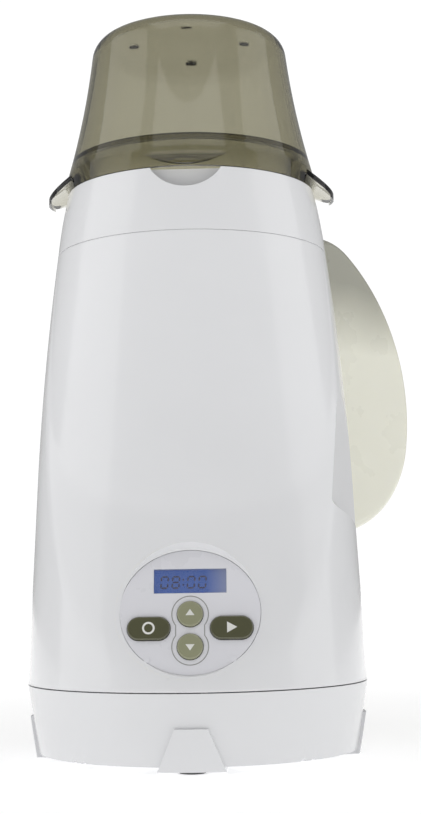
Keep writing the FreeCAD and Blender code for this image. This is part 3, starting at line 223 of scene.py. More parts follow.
class WarmerTank(bpy.types.PropertyGroup):
    sage: colour("Tank", "Colour of the frosted tank", (0.88, 0.87, 0.72))
    # The smoke here is painted shade: this is the share of the tank's colour left at its top.
    deep: share("Smoke", "How much of the colour is left where the smoke is deepest", 0.4)
    gloss: share("Roughness", "Roughness of the tank", 0.3)


class WarmerBase(bpy.types.PropertyGroup):
    soft: length("Edge", "Rounding of the tray's edges", 0.0005)
    screw_ring: length("Screw ring", "Radius of the ring of base screws", 0.0575)
    screw_head: length("Screw head", "Radius of a screw's head", 0.003)
    screw_thick: length("Head height", "Height of a screw's head", 0.002)
    screw_r: length("Shank", "Radius of a screw's shank", 0.0015)
    screw_long: length("Shank length", "Length of a screw's shank", 0.018)
    screw_top: place("Screw seat", "Height of the face that the heads bear on", 0.0042)
    pad_ring: length("Pad ring", "Radius of the ring of rubber pads", 0.0585)
    pad_r: length("Pad", "Radius of a rubber pad", 0.005)
    pad_high: length("Pad height", "Height of a rubber pad", 0.001)
    count: IntProperty(name="Count", description="Number of screws and of pads", default=4, min=3,
                       max=8)


class WarmerStage(bpy.types.PropertyGroup):
    eye: FloatVectorProperty(name="Camera", description="Where the camera stands",
                             default=(0.01465, -0.64721, 0.07406), size=3, subtype="XYZ",
                             unit="LENGTH")
    turn: angle("Turn", "Turn of the camera about the upright", 1.8)
    tilt: angle("Tilt", "How far the camera looks up", 6.24)
    roll: angle("Roll", "Roll of the camera about its own line of sight", -0.89)
    lens: number("Lens", "Focal length in millimetres", 67.38, 300.0, 10.0)
    sky: number("Sky light", "Strength of the even light all round", 0.33, 5.0)
    left: number("Left light", "Power of the left soft box", 4.8, 500.0)
    right: number("Right light", "Power of the right soft box", 3.9, 500.0)
    top: number("Top light", "Power of the soft box above the front", 3.6, 500.0)


GROUPS = {"warmer_housing": WarmerHousing, "warmer_panel": WarmerPanel, "warmer_lid": WarmerLid,
          "warmer_tank": WarmerTank, "warmer_base": WarmerBase, "warmer_stage": WarmerStage}


# ---------------------------------------------------------------- nodes and finishes
def add_node(tree, kind, inputs, **settings):
    """A new node; each input takes a value, a socket, or a list of sockets."""
    made = tree.nodes.new(kind)
    for name, value in settings.items():
        setattr(made, name, value)
    for name, value in inputs.items():
        for source in value if isinstance(value, list) else [value]:
            if isinstance(source, bpy.types.NodeSocket):
                tree.links.new(source, made.inputs[name])
            else:
                made.inputs[name].default_value = source
    return made


class Finish:
    """A procedural finish on Object coordinates, built up step by step."""

    def __init__(self, name):
        self.material = bpy.data.materials.new(name)
        self.material.use_nodes = True
        self.tree = self.material.node_tree
        self.shader = self.find("BSDF_PRINCIPLED")
        self.coords = self.tree.nodes.new("ShaderNodeTexCoord").outputs["Object"]

    def find(self, kind):
        return next(node for node in self.tree.nodes if node.type == kind)

    def set(self, **values):
        for name, value in values.items():
            self.shader.inputs[name.replace("_", " ")].default_value = value
        return self

    def feed(self, source, name):
        self.tree.links.new(source, self.shader.inputs[name])
        return self

    def noise(self, scale, detail=3.0, stretch=(1, 1, 1)):
        spot = add_node(self.tree, "ShaderNodeMapping", {"Scale": stretch, "Vector": self.coords})
        texture = add_node(self.tree, "ShaderNodeTexNoise",
                           {"Scale": scale, "Detail": detail, "Vector": spot.outputs["Vector"]})
        return texture.outputs["Fac"]

    def ramp(self, source, low, high, first, second):
        """Colours between two values of a source."""
        node = add_node(self.tree, "ShaderNodeValToRGB", {"Fac": source})
        for stop, spot, value in zip(node.color_ramp.elements, (low, high), (first, second)):
            stop.position = spot
            stop.color = (*value, 1)
        return node.outputs["Color"]

    def spread(self, source, low, high):
        """A number between low and high."""
        node = add_node(self.tree, "ShaderNodeMapRange", {"From Min": 0.3, "From Max": 0.7,
                                                          "To Min": low, "To Max": high,
                                                          "Value": source})
        return node.outputs["Result"]

    def tint(self, base, drift=0.03, scale=28.0):
        """Base colour that drifts a little over the surface."""
        dark = tuple(value * (1 - drift) for value in base)
        light = tuple(min(1.0, value * (1 + drift)) for value in base)
        return self.feed(self.ramp(self.noise(scale), 0.32, 0.68, dark, light), "Base Color")

    def rough(self, low, high, scale=60.0, stretch=(1, 1, 1)):
        return self.feed(self.spread(self.noise(scale, 4.0, stretch), low, high), "Roughness")

    def grain(self, strength, scale, deep=0.0001, stretch=(1, 1, 1)):
        bump = add_node(self.tree, "ShaderNodeBump",
                        {"Strength": strength, "Distance": deep,
                         "Height": self.noise(scale, 2.0, stretch)})
        return self.feed(bump.outputs["Normal"], "Normal")

    def fade(self, axis, start, end, **settings):
        """0 at one place along an axis of the object and 1 at the other."""
        spot = add_node(self.tree, "ShaderNodeSeparateXYZ", {"Vector": self.coords})
        node = add_node(self.tree, "ShaderNodeMapRange",
                        {"From Min": start, "From Max": end, "Value": spot.outputs[axis]},
                        **settings)
        return node.outputs["Result"]


def white_plastic(name, sizes):
    """Glossy white moulding."""
    finish = Finish(name).set(IOR=1.49, Coat_Weight=0.35, Coat_Roughness=0.06)
    finish.tint(sizes.white, 0.012, 22.0)
    finish.rough(sizes.gloss * 0.85, sizes.gloss * 1.2, 55.0)
    return finish.grain(0.06, 900.0, 0.00008).material


def smoked_plastic(sizes):
    """See-through plastic that darkens with the length of the light's way through it."""
    finish = Finish("lid smoke").set(Transmission_Weight=1.0, IOR=1.46)
    finish.tint((0.93, 0.93, 0.90), 0.015, 18.0)
    finish.rough(sizes.gloss * 0.7, sizes.gloss * 1.4, 40.0)
    depth = add_node(finish.tree, "ShaderNodeVolumeAbsorption",
                     {"Color": (*sizes.smoke, 1), "Density": sizes.depth})
    finish.tree.links.new(depth.outputs["Volume"], finish.find("OUTPUT_MATERIAL").inputs["Volume"])
    return finish.grain(0.04, 260.0, 0.0001).material


def frosted_plastic_with_painted_shade(sizes):
    """Milky plastic with painted shade: its colour darkens towards the tank's top, with a little
    random tone.
    """
    finish = Finish("tank sage").set(IOR=1.45, Subsurface_Weight=0.25,
                                     Subsurface_Scale=0.012, Coat_Weight=0.3, Coat_Roughness=0.15)
    finish.shader.inputs["Subsurface Radius"].default_value = (1.0, 0.95, 0.7)
    low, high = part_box("water_tank")
    # Painted shade: the colour runs from the tank's own sage at the foot to a darker copy at the
    # top; the noise adds random tone.
    fall = finish.fade("Z", low[2], high[2], interpolation_type="SMOOTHSTEP")
    drift = add_node(finish.tree, "ShaderNodeMath", {0: finish.noise(16.0), 1: 0.12, 2: fall},
                     operation="MULTIPLY_ADD")
    deep = tuple(value * sizes.deep for value in sizes.sage)
    finish.feed(finish.ramp(drift.outputs[0], 0.78, 1.0, sizes.sage, deep), "Base Color")
    finish.rough(sizes.gloss * 0.85, sizes.gloss * 1.15, 70.0)
    return finish.grain(0.05, 400.0, 0.00004).material


def moulded(name, base, low, high, grain=0.15, drift=0.04, **values):
    """Any other moulded plastic or rubber."""
    finish = Finish(name).set(**values)
    finish.tint(base, drift, 40.0).rough(low, high, 90.0)
    return finish.grain(grain, 1200.0, 0.0001).material


def metal(name, base, low, high, stretch=(1, 1, 12), grain=0.2):
    """Sheet, turned or drawn metal, with its marks along one direction."""
    finish = Finish(name).set(Metallic=1.0)
    finish.tint(base, 0.06, 60.0).rough(low, high, 240.0, stretch)
    return finish.grain(grain, 1500.0, 0.00006, stretch).material


def lit_display(sizes):
    """Blue glass, lit from behind, that pales towards its right end."""
    finish = Finish("display blue").set(Roughness=0.45, Specular_IOR_Level=0.15,
                                       Emission_Strength=0.42)
    reach = finish.fade("X", AXIS.x - sizes.glass_w * 0.5, AXIS.x + sizes.glass_w * 0.56)
    pale = tuple(value * 0.45 + 0.2 for value in sizes.blue)
    glow = finish.ramp(reach, 0.68, 1.0, sizes.blue, pale)
    finish.feed(glow, "Base Color").feed(glow, "Emission Color")
    return finish.grain(0.1, 1500.0, 0.00005).material


# ---------------------------------------------------------------- mesh work
def put(name, data):
    """A new object in the scene."""
    made = bpy.data.objects.new(name, data)
    bpy.context.scene.collection.objects.link(made)
    return made


def new_piece(name, work, finish=None, merge=True):
    """A bmesh becomes a named object with smooth faces and sharp creases."""
    if merge:
        bmesh.ops.remove_doubles(work, verts=work.verts, dist=1e-6)
    bmesh.ops.recalc_face_normals(work, faces=work.faces)
    mesh = bpy.data.meshes.new(name)
    work.to_mesh(mesh)
    work.free()
    piece = put(name, mesh)
    if finish:
        mesh.materials.append(finish)
    smooth(piece)
    return piece


def smooth(piece, crease=30.0):
    """Shades every face smooth and marks the edges sharper than the crease, in degrees."""
    work = bmesh.new()
    work.from_mesh(piece.data)
    limit = math.radians(crease)
    for face in work.faces:
        face.smooth = True
    for edge in work.edges:
        edge.smooth = len(edge.link_faces) == 2 and edge.calc_face_angle(0.0) < limit
    work.to_mesh(piece.data)
    work.free()
    piece.data.update()


def loft(work, rings, closed=False):
    """Skins a stack of rings of points. The ends get a fan, or the last ring meets the first."""
    rows = [[work.verts.new(spot) for spot in ring] for ring in rings]
    steps = len(rows[0])
    pairs = list(zip(rows, rows[1:]))
    if closed:
        pairs.append((rows[-1], rows[0]))
    for low, high in pairs:
        for step in range(steps):
            after = (step + 1) % steps
            work.faces.new((low[step], low[after], high[after], high[step]))
    if not closed:
        for row, ring in ((rows[0], rings[0]), (rows[-1], rings[-1])):
            tip = work.verts.new(sum((Vector(spot) for spot in ring), Vector()) / steps)
            for step in range(steps):
                work.faces.new((row[step], row[(step + 1) % steps], tip))
    return rows


def lofted(name, rings, finish=None):
    work = bmesh.new()
    loft(work, rings)
    return new_piece(name, work, finish)


def block(name, low, high, spin):
    """A box between two corners, turned and moved by a matrix."""
    work = bmesh.new()
    bmesh.ops.create_cube(work, size=1.0)
    low, high = Vector(low), Vector(high)
    for vert in work.verts:
        share_of = vert.co + Vector((0.5, 0.5, 0.5))
        vert.co = Vector([low[k] + (high[k] - low[k]) * share_of[k] for k in range(3)])
    bmesh.ops.transform(work, matrix=spin, verts=work.verts)
    return new_piece(name, work)


def settle(piece):
    """Bakes a piece's modifiers into its mesh."""
    layers = bpy.context.evaluated_depsgraph_get()
    mesh = bpy.data.meshes.new_from_object(piece.evaluated_get(layers))
    old = piece.data
    piece.modifiers.clear()
    piece.data = mesh
    bpy.data.meshes.remove(old)
    return piece


def even_normals(piece):
    """Lets large flat faces lead the shading, so that curves run into them without a shadow."""
    step = piece.modifiers.new("shading", "WEIGHTED_NORMAL")
    step.mode = "FACE_AREA"
    step.weight = 80
    step.keep_sharp = True
    return settle(piece)


def carve(piece, how, *tools):
    """Cuts, joins or keeps what is common with other closed pieces, which are used up."""
    for tool in tools:
        step = piece.modifiers.new("shape", "BOOLEAN")
        step.operation = how
        step.solver = "MANIFOLD"
        step.object = tool
        settle(piece)
        if not piece.data.polygons:
            raise RuntimeError("%s was lost when %s was used on it" % (piece.name, tool.name))
        bpy.data.objects.remove(tool)
    return piece


def soften(piece, size, crease=32.0, segments=2):
    """Rounds a piece's sharp edges a little."""
    step = piece.modifiers.new("edge", "BEVEL")
    step.width = size
    step.segments = segments
    step.limit_method = "ANGLE"
    step.angle_limit = math.radians(crease)
    step.use_clamp_overlap = True
    settle(piece)
    smooth(piece, crease)
    return even_normals(piece)


def copy_of(node, name, finish, crease=30.0, join_flats=True):
    """A clean copy of a CAD node: its loose triangles merged, flat faces joined, shaded smooth."""
    work = bmesh.new()
    work.from_mesh(frame["nodes"][node].data)
    bmesh.ops.remove_doubles(work, verts=work.verts, dist=2e-6)
    if join_flats:
        bmesh.ops.dissolve_limit(work, angle_limit=math.radians(0.05), verts=work.verts,
                                 edges=work.edges)
    mesh = bpy.data.meshes.new(name)
    work.to_mesh(mesh)
    work.free()
    mesh.materials.append(finish)
    piece = put(name, mesh)
    smooth(piece, crease)
    return even_normals(piece)


def settle_in(piece, body, slot, *nodes):
    """Puts a piece on the body it rides on and hides the CAD nodes it stands for; the slot is not
    used.
    """
    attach(piece, body)
    if nodes:
        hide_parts(*nodes)
    return piece


# ---------------------------------------------------------------- housing
def soft_least(first, second, blend):
    """The smaller of two numbers, blended where they are close."""
    gap = max(0.0, 1.0 - abs(first - second) / blend)
    return min(first, second) - gap * gap * blend / 4


def soft_most(first, second, blend):
    return -soft_least(-first, -second, blend)


def ray_to_round(turn, centre, across, along):
    """Distance from the axis to an oval whose middle is behind it, in one direction."""
    c, s = math.cos(turn), math.sin(turn)
    a = (c / across) ** 2 + (s / along) ** 2
    b = -2 * s * centre / along ** 2
    rest = (centre / along) ** 2 - 1
    return (-b + math.sqrt(b * b - 4 * a * rest)) / (2 * a)


def side_radius(sizes, z):
    """Radius of the housing's round sides at a height."""
    if z <= sizes.bow_z:
        return sizes.low_r - sizes.taper * (z - sizes.low_z)
    rise = z - sizes.bow_z
    foot = sizes.low_r - sizes.taper * (sizes.bow_z - sizes.low_z)
    return foot - sizes.bow_taper * rise - sizes.bow * rise * rise


def housing_radius(sizes, turn, z, inset):
    """Distance of the housing's skin from the axis."""
    side = side_radius(sizes, z) - inset
    lean = sizes.saddle_lean
    back = sizes.saddle_y + (z - sizes.saddle_z) * math.tan(lean)
    reach = sizes.saddle_r - inset
    saddle = ray_to_round(turn, back, reach, reach / math.cos(lean))
    drop = (sizes.top_z - z) / sizes.shield_fall
    out = sizes.shield_top_r + sizes.shield_out * drop - inset
    shield = ray_to_round(turn, sizes.shield_back * drop, out, out)
    front = soft_most(saddle, shield, sizes.sweep)
    fade = min(1.0, max(0.02, (sizes.top_z - z) / (30 * MM)))
    return soft_least(side, front, sizes.crease * fade) if front < side + sizes.crease else side


def housing_skin(name, sizes, inset, low, high, steps, rows, seam=0.0, finish=None):
    """The skin at one inset, closer meshed in front, with bevelled rims for a seam."""
    levels = [(low + (high - low) * row / rows, 0.0) for row in range(rows + 1)]
    if seam:
        part = seam * 0.3
        levels = ([(low, seam), (low + part, part), (low + seam, 0.0)] + levels[1:-1]
                  + [(high - seam, 0.0), (high - part, part), (high, seam)])
    rings = []
    for z, back in levels:
        ring = []
        for step in range(steps):
            spread = 2 * math.pi * step / steps - math.pi
            turn = spread - 0.35 * math.sin(spread) - math.pi / 2
            radius = housing_radius(sizes, turn, min(z, sizes.top_z), inset)
            ring.append(on_axis(radius - back, turn, z))
        rings.append(ring)
    return lofted(name, rings, finish)


def panel_point(sizes, u, v, n):
    """A point on the panel: across, up it, and out of it."""
    lean = sizes.lean
    return AXIS + Vector((u, sizes.out_y + v * math.sin(lean) - n * math.cos(lean),
                          sizes.z + v * math.cos(lean) + n * math.sin(lean)))


def circle(steps):
    """Cosine and sine for each step of a turn."""
    turns = [2 * math.pi * step / steps for step in range(steps)]
    return [(math.cos(turn), math.sin(turn)) for turn in turns]


def panel_solid(name, sizes, rows, steps=160):
    """An oval block from (growth over the plate, level) pairs."""
    rings = [[panel_point(sizes, (sizes.across + grow) * c, (sizes.up + grow) * s, level)
              for c, s in circle(steps)] for grow, level in rows]
    return lofted(name, rings)


def upright(name, radius, low, high, spot=AXIS, steps=96):
    """An upright round solid."""
    return lofted(name, [[Vector((spot.x + radius * c, spot.y + radius * s, z))
                          for c, s in circle(steps)] for z in (low, high)])


def tank_direction():
    """Direction from the axis to the tank."""
    spot = middle("tank_socket")
    return math.atan2(spot.y - AXIS.y, spot.x - AXIS.x)


def bay_form(name, gap, low, high):
    """The channel that the tank drops into, with its key way."""
    turn = Matrix.Translation(AXIS) @ Matrix.Rotation(tank_direction(), 4, "Z")
    wide = block(name, (BAY_IN, -BAY_HALF - gap, low), (BAY_OUT, BAY_HALF + gap, high), turn)
    carve(wide, "DIFFERENCE", upright(name + "_core", BAY_CORE - gap, low - 0.01, high + 0.01))
    key = block(name + "_key", (KEY_IN - gap, -KEY_HALF - gap, low),
                (KEY_OUT, KEY_HALF + gap, high), turn)
    return carve(wide, "UNION", key)


def facet_block(name, sizes, inset, side, tall):
    """The space beside the tank's flat and above its ledge, moved in by an inset."""
    spin = Matrix.Rotation(sizes.facet_angle, 4, "Z")
    spot = spin @ Vector((sizes.facet_in - inset, 0, sizes.facet_z - inset))
    turn = spin @ Matrix.Rotation(-sizes.facet_slope, 4, "X")
    return block(name, (0, -side, 0), (30 * MM, side, tall),
                 Matrix.Translation(AXIS + spot) @ turn)


def housing_wall(sizes, shell):
    """Hollows the shell; gives back a copy of the whole form for trimming what joins it."""
    inside = housing_skin("housing_inside", sizes, sizes.wall, sizes.low_z - 2 * MM,
                          sizes.top_z - sizes.wall, 128, 60)
    flat = facet_block("facet", sizes, 0.0, 40 * MM, 150 * MM)
    carve(shell, "DIFFERENCE", soften(flat, sizes.facet_soft, 40.0, 4))
    carve(inside, "DIFFERENCE", facet_block("facet_inside", sizes, sizes.wall, 45 * MM, 160 * MM))
    whole = put("housing_whole", shell.data.copy())
    carve(shell, "DIFFERENCE", inside)
    return whole


def build_housing(sizes, panel, finish):
    """The shell with the panel's seat, bowl and window, the tank's bay and the round openings."""
    shell = housing_skin("housing_shell", sizes, 0.0, sizes.low_z, sizes.top_z, 400, 165,
                         sizes.seam, finish)
    whole = housing_wall(sizes, shell)
    walls = panel_solid("panel_seat", panel, [(SEAT_LIP, level) for level in SEAT_LEVELS])
    carve(walls, "UNION", bay_form("bay_backing", BAY_WALL, BAY_FLOOR - sizes.wall, sizes.top_z))
    carve(walls, "INTERSECT", whole)
    carve(shell, "UNION", walls)
    carve(shell, "DIFFERENCE",
          panel_solid("panel_bowl", panel, [(grow + BOWL_GAP, level) for grow, level in BOWL_ROWS]),
          panel_solid("panel_window", panel, [(-WINDOW_IN, WINDOW_DEEP), (-WINDOW_IN, 0)]),
          upright("well", sizes.well_r, sizes.top_z - 30 * MM, sizes.top_z + 30 * MM),
          upright("chamber_room", CHAMBER_R, 0.0, 260 * MM),
          bay_form("bay_space", BAY_ROOM, BAY_FLOOR, sizes.top_z + 20 * MM),
          upright("socket_room", SOCKET_R, *SOCKET_Z, socket_place()),
          upright("socket_throat", THROAT_R, *THROAT_Z, socket_place()))
    return shell


def socket_place():
    spot = middle("tank_socket")
    return Vector((spot.x, spot.y, 0))


class WARMER_OT_housing(bpy.types.Operator):
    """Make the white housing with its shield, creases, panel recess and tank bay"""

    bl_idname = "warmer.housing"
    bl_label = "Housing"

    def execute(self, context):
        sizes = context.scene.warmer_housing
        finish = white_plastic("housing white", sizes)
        shell = build_housing(sizes, context.scene.warmer_panel, finish)
        smooth(shell, 24.0)
        even_normals(shell)
        settle_in(shell, "housing", "white_shell", "main_housing")
        return {"FINISHED"}


class WARMER_OT_collar(bpy.types.Operator):
    """Make the collar under the lid, with its finger scoop"""

    bl_idname = "warmer.collar"
    bl_label = "Collar"

    def execute(self, context):
        finish = white_plastic("collar white", context.scene.warmer_housing)
        collar = copy_of("top_collar", "collar_ring", finish)
        soften(collar, context.scene.warmer_housing.edge)
        settle_in(collar, "housing", "white_shell", "top_collar")
        return {"FINISHED"}


class WARMER_OT_base(bpy.types.Operator):
    """Make the base tray with its four feet"""

    bl_idname = "warmer.base"
    bl_label = "Base tray"

    def execute(self, context):
        finish = white_plastic("tray white", context.scene.warmer_housing)
        tray = copy_of("base_tray", "tray_with_feet", finish)
        soften(tray, context.scene.warmer_base.soft)
        settle_in(tray, "housing", "white_shell", "base_tray")
        return {"FINISHED"}


class WARMER_OT_lid(bpy.types.Operator):
    """Make the smoked lid with its ears, front tab and steam holes"""

    bl_idname = "warmer.lid"
    bl_label = "Lid"

    def execute(self, context):
        sizes = context.scene.warmer_lid
        lid = copy_of("steam_lid", "lid_dome", smoked_plastic(sizes))
        soften(lid, sizes.soft)
        settle_in(lid, "lid", "lid_smoke", "steam_lid")
        return {"FINISHED"}


class WARMER_OT_tank(bpy.types.Operator):
    """Make the frosted water tank"""

    bl_idname = "warmer.tank"
    bl_label = "Tank"

    def execute(self, context):
        sizes = context.scene.warmer_tank
        tank = copy_of("water_tank", "tank_shell", frosted_plastic_with_painted_shade(sizes), 34.0, False)
        settle_in(tank, "tank", "tank_sage", "water_tank")
        return {"FINISHED"}


# ---------------------------------------------------------------- panel
def slab(work, sizes, corners, low, high):
    """A flat shape on the panel from its corners, given a thickness."""
    under = [work.verts.new(panel_point(sizes, u, v, low)) for u, v in corners]
    over = [work.verts.new(panel_point(sizes, u, v, high)) for u, v in corners]
    work.faces.new(under)
    work.faces.new(list(reversed(over)))
    for step in range(len(corners)):
        after = (step + 1) % len(corners)
        work.faces.new((under[step], over[step], over[after], under[after]))


def band(work, sizes, line, wide, low, high):
    """A flat line of even width along a closed path on the panel."""
    count = len(line)
    outer, inner = [], []
    for step in range(count):
        before, after = Vector(line[step - 1]), Vector(line[(step + 1) % count])
        along = (after - before).normalized()
        across = Vector((along.y, -along.x)) * wide / 2
        spot = Vector(line[step])
        outer.append(spot + across)
        inner.append(spot - across)
    rings = [[panel_point(sizes, spot.x, spot.y, level) for spot in path]
             for path, level in ((outer, low), (outer, high), (inner, high), (inner, low))]
    loft(work, rings, closed=True)


def arc(u, v, radius, start, end, steps):
    """Points on an arc between two directions in degrees."""
    turns = [math.radians(start + (end - start) * step / steps) for step in range(steps + 1)]
    return [(u + radius * math.cos(turn), v + radius * math.sin(turn)) for turn in turns]


def guide_line(sizes):
    """The waisted line round the two round keys."""
    top, low = sizes.up_v, sizes.down_v
    return arc(0, top, GUIDE_R, -38, 218, 48) + arc(0, low, GUIDE_R, 142, 398, 48)


def figure(number):
    """Which of the seven bars a figure lights: top, upper right, lower right, foot, and round."""
    return {0: "abcdef", 8: "abcdefg"}[number]


def bars(u, v, wide, high, thick):
    """Corners of the seven bars of a figure."""
    gap = thick * 0.18
    half = high / 2
    level = {"a": v + high - thick / 2, "g": v + half, "d": v + thick / 2}
    shapes = {}
    for name, at in level.items():
        shapes[name] = [(u + thick / 2 + gap, at), (u + thick + gap, at + thick / 2),
                        (u + wide - thick - gap, at + thick / 2), (u + wide - thick / 2 - gap, at),
                        (u + wide - thick - gap, at - thick / 2), (u + thick + gap, at - thick / 2)]
    for name, left, low in (("f", u + thick / 2, v + half), ("e", u + thick / 2, v),
                            ("b", u + wide - thick / 2, v + half), ("c", u + wide - thick / 2, v)):
        foot, head = low + thick / 2 + gap, low + half - thick / 2 - gap
        shapes[name] = [(left, foot), (left - thick / 2, foot + thick / 2),
                        (left - thick / 2, head - thick / 2), (left, head),
                        (left + thick / 2, head - thick / 2), (left + thick / 2, foot + thick / 2)]
    return shapes


def timer_figures(sizes, finish):
    """The generic time on the display, as seven-bar figures."""
    work = bmesh.new()
    wide, high, thick = FIGURE
    foot = sizes.glass_v - high / 2
    for place_at, number_shown in TIME_SHOWN:
        shapes = bars(FIGURE_LEFT + place_at * FIGURE_STEP, foot, wide, high, thick)
        for name in figure(number_shown):
            corners = [(u + (v - foot) * FIGURE_LEAN, v) for u, v in shapes[name]]
            slab(work, sizes, corners, *FIGURE_LEVELS)
    u = FIGURE_LEFT + COLON_STEP * FIGURE_STEP - COLON_BACK
    for level in (0.3, 0.7):
        low, top = foot + high * level - thick / 2, foot + high * level + thick / 2
        slab(work, sizes, [(u, low), (u + thick, low), (u + thick, top), (u, top)], *FIGURE_LEVELS)
    return new_piece("display_figures", work, finish, merge=False)


class WARMER_OT_panel(bpy.types.Operator):
    """Make the panel plate, its guide line, the display and its figures"""

    bl_idname = "warmer.panel"
    bl_label = "Panel"

    def execute(self, context):
        sizes = context.scene.warmer_panel
        finish = moulded("panel grey", sizes.grey, 0.24, 0.34, 0.1, 0.015, Coat_Weight=0.3,
                         Coat_Roughness=0.08)
        plate = copy_of("control_panel", "panel_plate", finish)
        soften(plate, sizes.edge)
        settle_in(plate, "housing", "panel_grey", "control_panel")
        work = bmesh.new()
        band(work, sizes, guide_line(sizes), GUIDE_WIDE, *GUIDE_LEVELS)
        line = new_piece("panel_guide_line", work, moulded("guide line grey", (0.33, 0.33, 0.32),
                                                           0.3, 0.45))
        settle_in(line, "housing", "panel_grey")
        dark = moulded("figure ink", (0.008, 0.012, 0.06), 0.3, 0.5)
        settle_in(timer_figures(sizes, dark), "housing", "display_blue")
        dress("display_module", lit_display(sizes))
        return {"FINISHED"}


class WARMER_OT_keys(bpy.types.Operator):
    """Make the four keys and the signs on them"""

    bl_idname = "warmer.keys"
    bl_label = "Keys"

    def execute(self, context):
        sizes = context.scene.warmer_panel
        sage = moulded("key sage", sizes.sage, 0.16, 0.26, 0.05, 0.03, Coat_Weight=0.8,
                       Coat_Roughness=0.05)
        olive = moulded("key olive", sizes.olive, 0.14, 0.24, 0.05, 0.05, Coat_Weight=0.9,
                        Coat_Roughness=0.05)
        mark = moulded("sign white", (0.80, 0.80, 0.76), 0.35, 0.5)
        for node, body, finish, slot in (("up_button", "up_key", sage, "button_sage"),
                                         ("down_button", "down_key", sage, "button_sage"),
                                         ("stop_button", "stop_key", olive, "button_olive"),
                                         ("start_button", "start_key", olive, "button_olive")):
            key = copy_of(node, node + "_cap", finish)
            settle_in(key, body, slot, node)
            sign = key_sign(node, sizes, mark)
            settle_in(sign, body, slot)
        return {"FINISHED"}


def key_sign(node, sizes, finish):
    """The raised sign on a key: an arrow up or down, a ring, or an arrow to the right."""
    work = bmesh.new()
    levels = (sizes.key_top - SIGN_SUNK, sizes.key_top + SIGN_PROUD)
    if node == "stop_button":
        ring = arc(-sizes.pill_u, sizes.pill_v, RING_R, 0, 360 - 7.5, 47)
        band(work, sizes, ring, RING_WIDE, *levels)
        return new_piece(node + "_sign", work, finish)
    if node == "start_button":
        u, v = sizes.pill_u, sizes.pill_v
        corners = [(u - ARROW, v - ARROW_LONG), (u + ARROW_LONG, v), (u - ARROW, v + ARROW_LONG)]
    else:
        way, v = (1, sizes.up_v) if node == "up_button" else (-1, sizes.down_v)
        corners = [(-ARROW * way, v - ARROW_SHORT * way), (ARROW * way, v - ARROW_SHORT * way),
                   (0, v + ARROW * way)]
    slab(work, sizes, corners, *levels)
    return new_piece(node + "_sign", work, finish)


# ---------------------------------------------------------------- what repeats round the base
NUMBER, POINT = "NodeSocketFloat", "NodeSocketVector"
RING_INPUTS = {"Ring": NUMBER, "Count": "NodeSocketInt", "First angle": NUMBER, "Centre": POINT,
               "Radius": NUMBER, "Height": NUMBER, "Shank radius": NUMBER, "Shank length": NUMBER,
               "Finish": "NodeSocketMaterial"}
RECESS_LONG = 2.8 * MM
RECESS_THIN = 0.6 * MM
RECESS_HIGH = 1.8 * MM
SHANK_SUNK = 0.05 * MM


def repeat_tree(name, make_item):
    """A node tree that stands items on a ring: radius, count, first angle, place and finish."""
    tree = bpy.data.node_groups.new(name, "GeometryNodeTree")
    solid = {"socket_type": "NodeSocketGeometry"}
    tree.interface.new_socket("Geometry", in_out="INPUT", **solid)
    for label, kind in RING_INPUTS.items():
        tree.interface.new_socket(label, in_out="INPUT", socket_type=kind)
    tree.interface.new_socket("Geometry", in_out="OUTPUT", **solid)
    start = tree.nodes.new("NodeGroupInput").outputs
    ring = add_node(tree, "GeometryNodeMeshCircle",
                    {"Vertices": start["Count"], "Radius": start["Ring"]})
    spin = add_node(tree, "ShaderNodeCombineXYZ", {"Z": start["First angle"]})
    move = add_node(tree, "GeometryNodeTransform",
                    {"Geometry": ring.outputs["Mesh"], "Translation": start["Centre"],
                     "Rotation": spin.outputs["Vector"]})
    spread = add_node(tree, "GeometryNodeInstanceOnPoints",
                      {"Points": move.outputs["Geometry"], "Instance": make_item(tree, start)})
    real = add_node(tree, "GeometryNodeRealizeInstances", {"Geometry": spread.outputs["Instances"]})
    dressed = add_node(tree, "GeometryNodeSetMaterial",
                       {"Geometry": real.outputs["Geometry"], "Material": start["Finish"]})
    add_node(tree, "NodeGroupOutput", {"Geometry": dressed.outputs["Geometry"]})
    return tree


def drum(tree, radius, height, steps, narrow):
    """A round solid from 0 up to its height, its top narrower than its foot."""
    shrink = add_node(tree, "ShaderNodeMath", {0: radius, 1: narrow}, operation="MULTIPLY")
    cone = add_node(tree, "GeometryNodeMeshCone",
                    {"Vertices": steps, "Side Segments": 1, "Radius Bottom": radius,
                     "Radius Top": shrink.outputs[0], "Depth": height})
    return cone.outputs["Mesh"]


def shifted(tree, shape, z):
    """A shape moved along Z."""
    up = add_node(tree, "ShaderNodeCombineXYZ", {"Z": z})
    move = add_node(tree, "GeometryNodeTransform",
                    {"Geometry": shape, "Translation": up.outputs["Vector"]})
    return move.outputs["Geometry"]


def screw_item(tree, start):
    """A pan-head screw, head down, with a cross recess in the head."""
    head = add_node(tree, "GeometryNodeTransform",
                    {"Geometry": drum(tree, start["Radius"], start["Height"], 48, 0.82),
                     "Rotation": (math.pi, 0, 0)})
    minus = add_node(tree, "ShaderNodeMath", {0: start["Height"], 1: -1.0}, operation="MULTIPLY")
    arms = [add_node(tree, "GeometryNodeMeshCube", {"Size": size}).outputs["Mesh"]
            for size in ((RECESS_LONG, RECESS_THIN, RECESS_HIGH),
                         (RECESS_THIN, RECESS_LONG, RECESS_HIGH))]
    cross = add_node(tree, "GeometryNodeJoinGeometry", {"Geometry": arms})
    recess = add_node(tree, "GeometryNodeMeshBoolean",
                      {"Mesh 1": head.outputs["Geometry"],
                       "Mesh 2": shifted(tree, cross.outputs["Geometry"], minus.outputs[0])},
                      operation="DIFFERENCE")
    shank = drum(tree, start["Shank radius"], start["Shank length"], 32, 0.8)
    lowered = add_node(tree, "GeometryNodeTransform",
                       {"Geometry": shifted(tree, shank, start["Height"]),
                        "Translation": (0, 0, -SHANK_SUNK)})
    join = add_node(tree, "GeometryNodeJoinGeometry",
                    {"Geometry": [recess.outputs["Mesh"], lowered.outputs["Geometry"]]})
    return join.outputs["Geometry"]


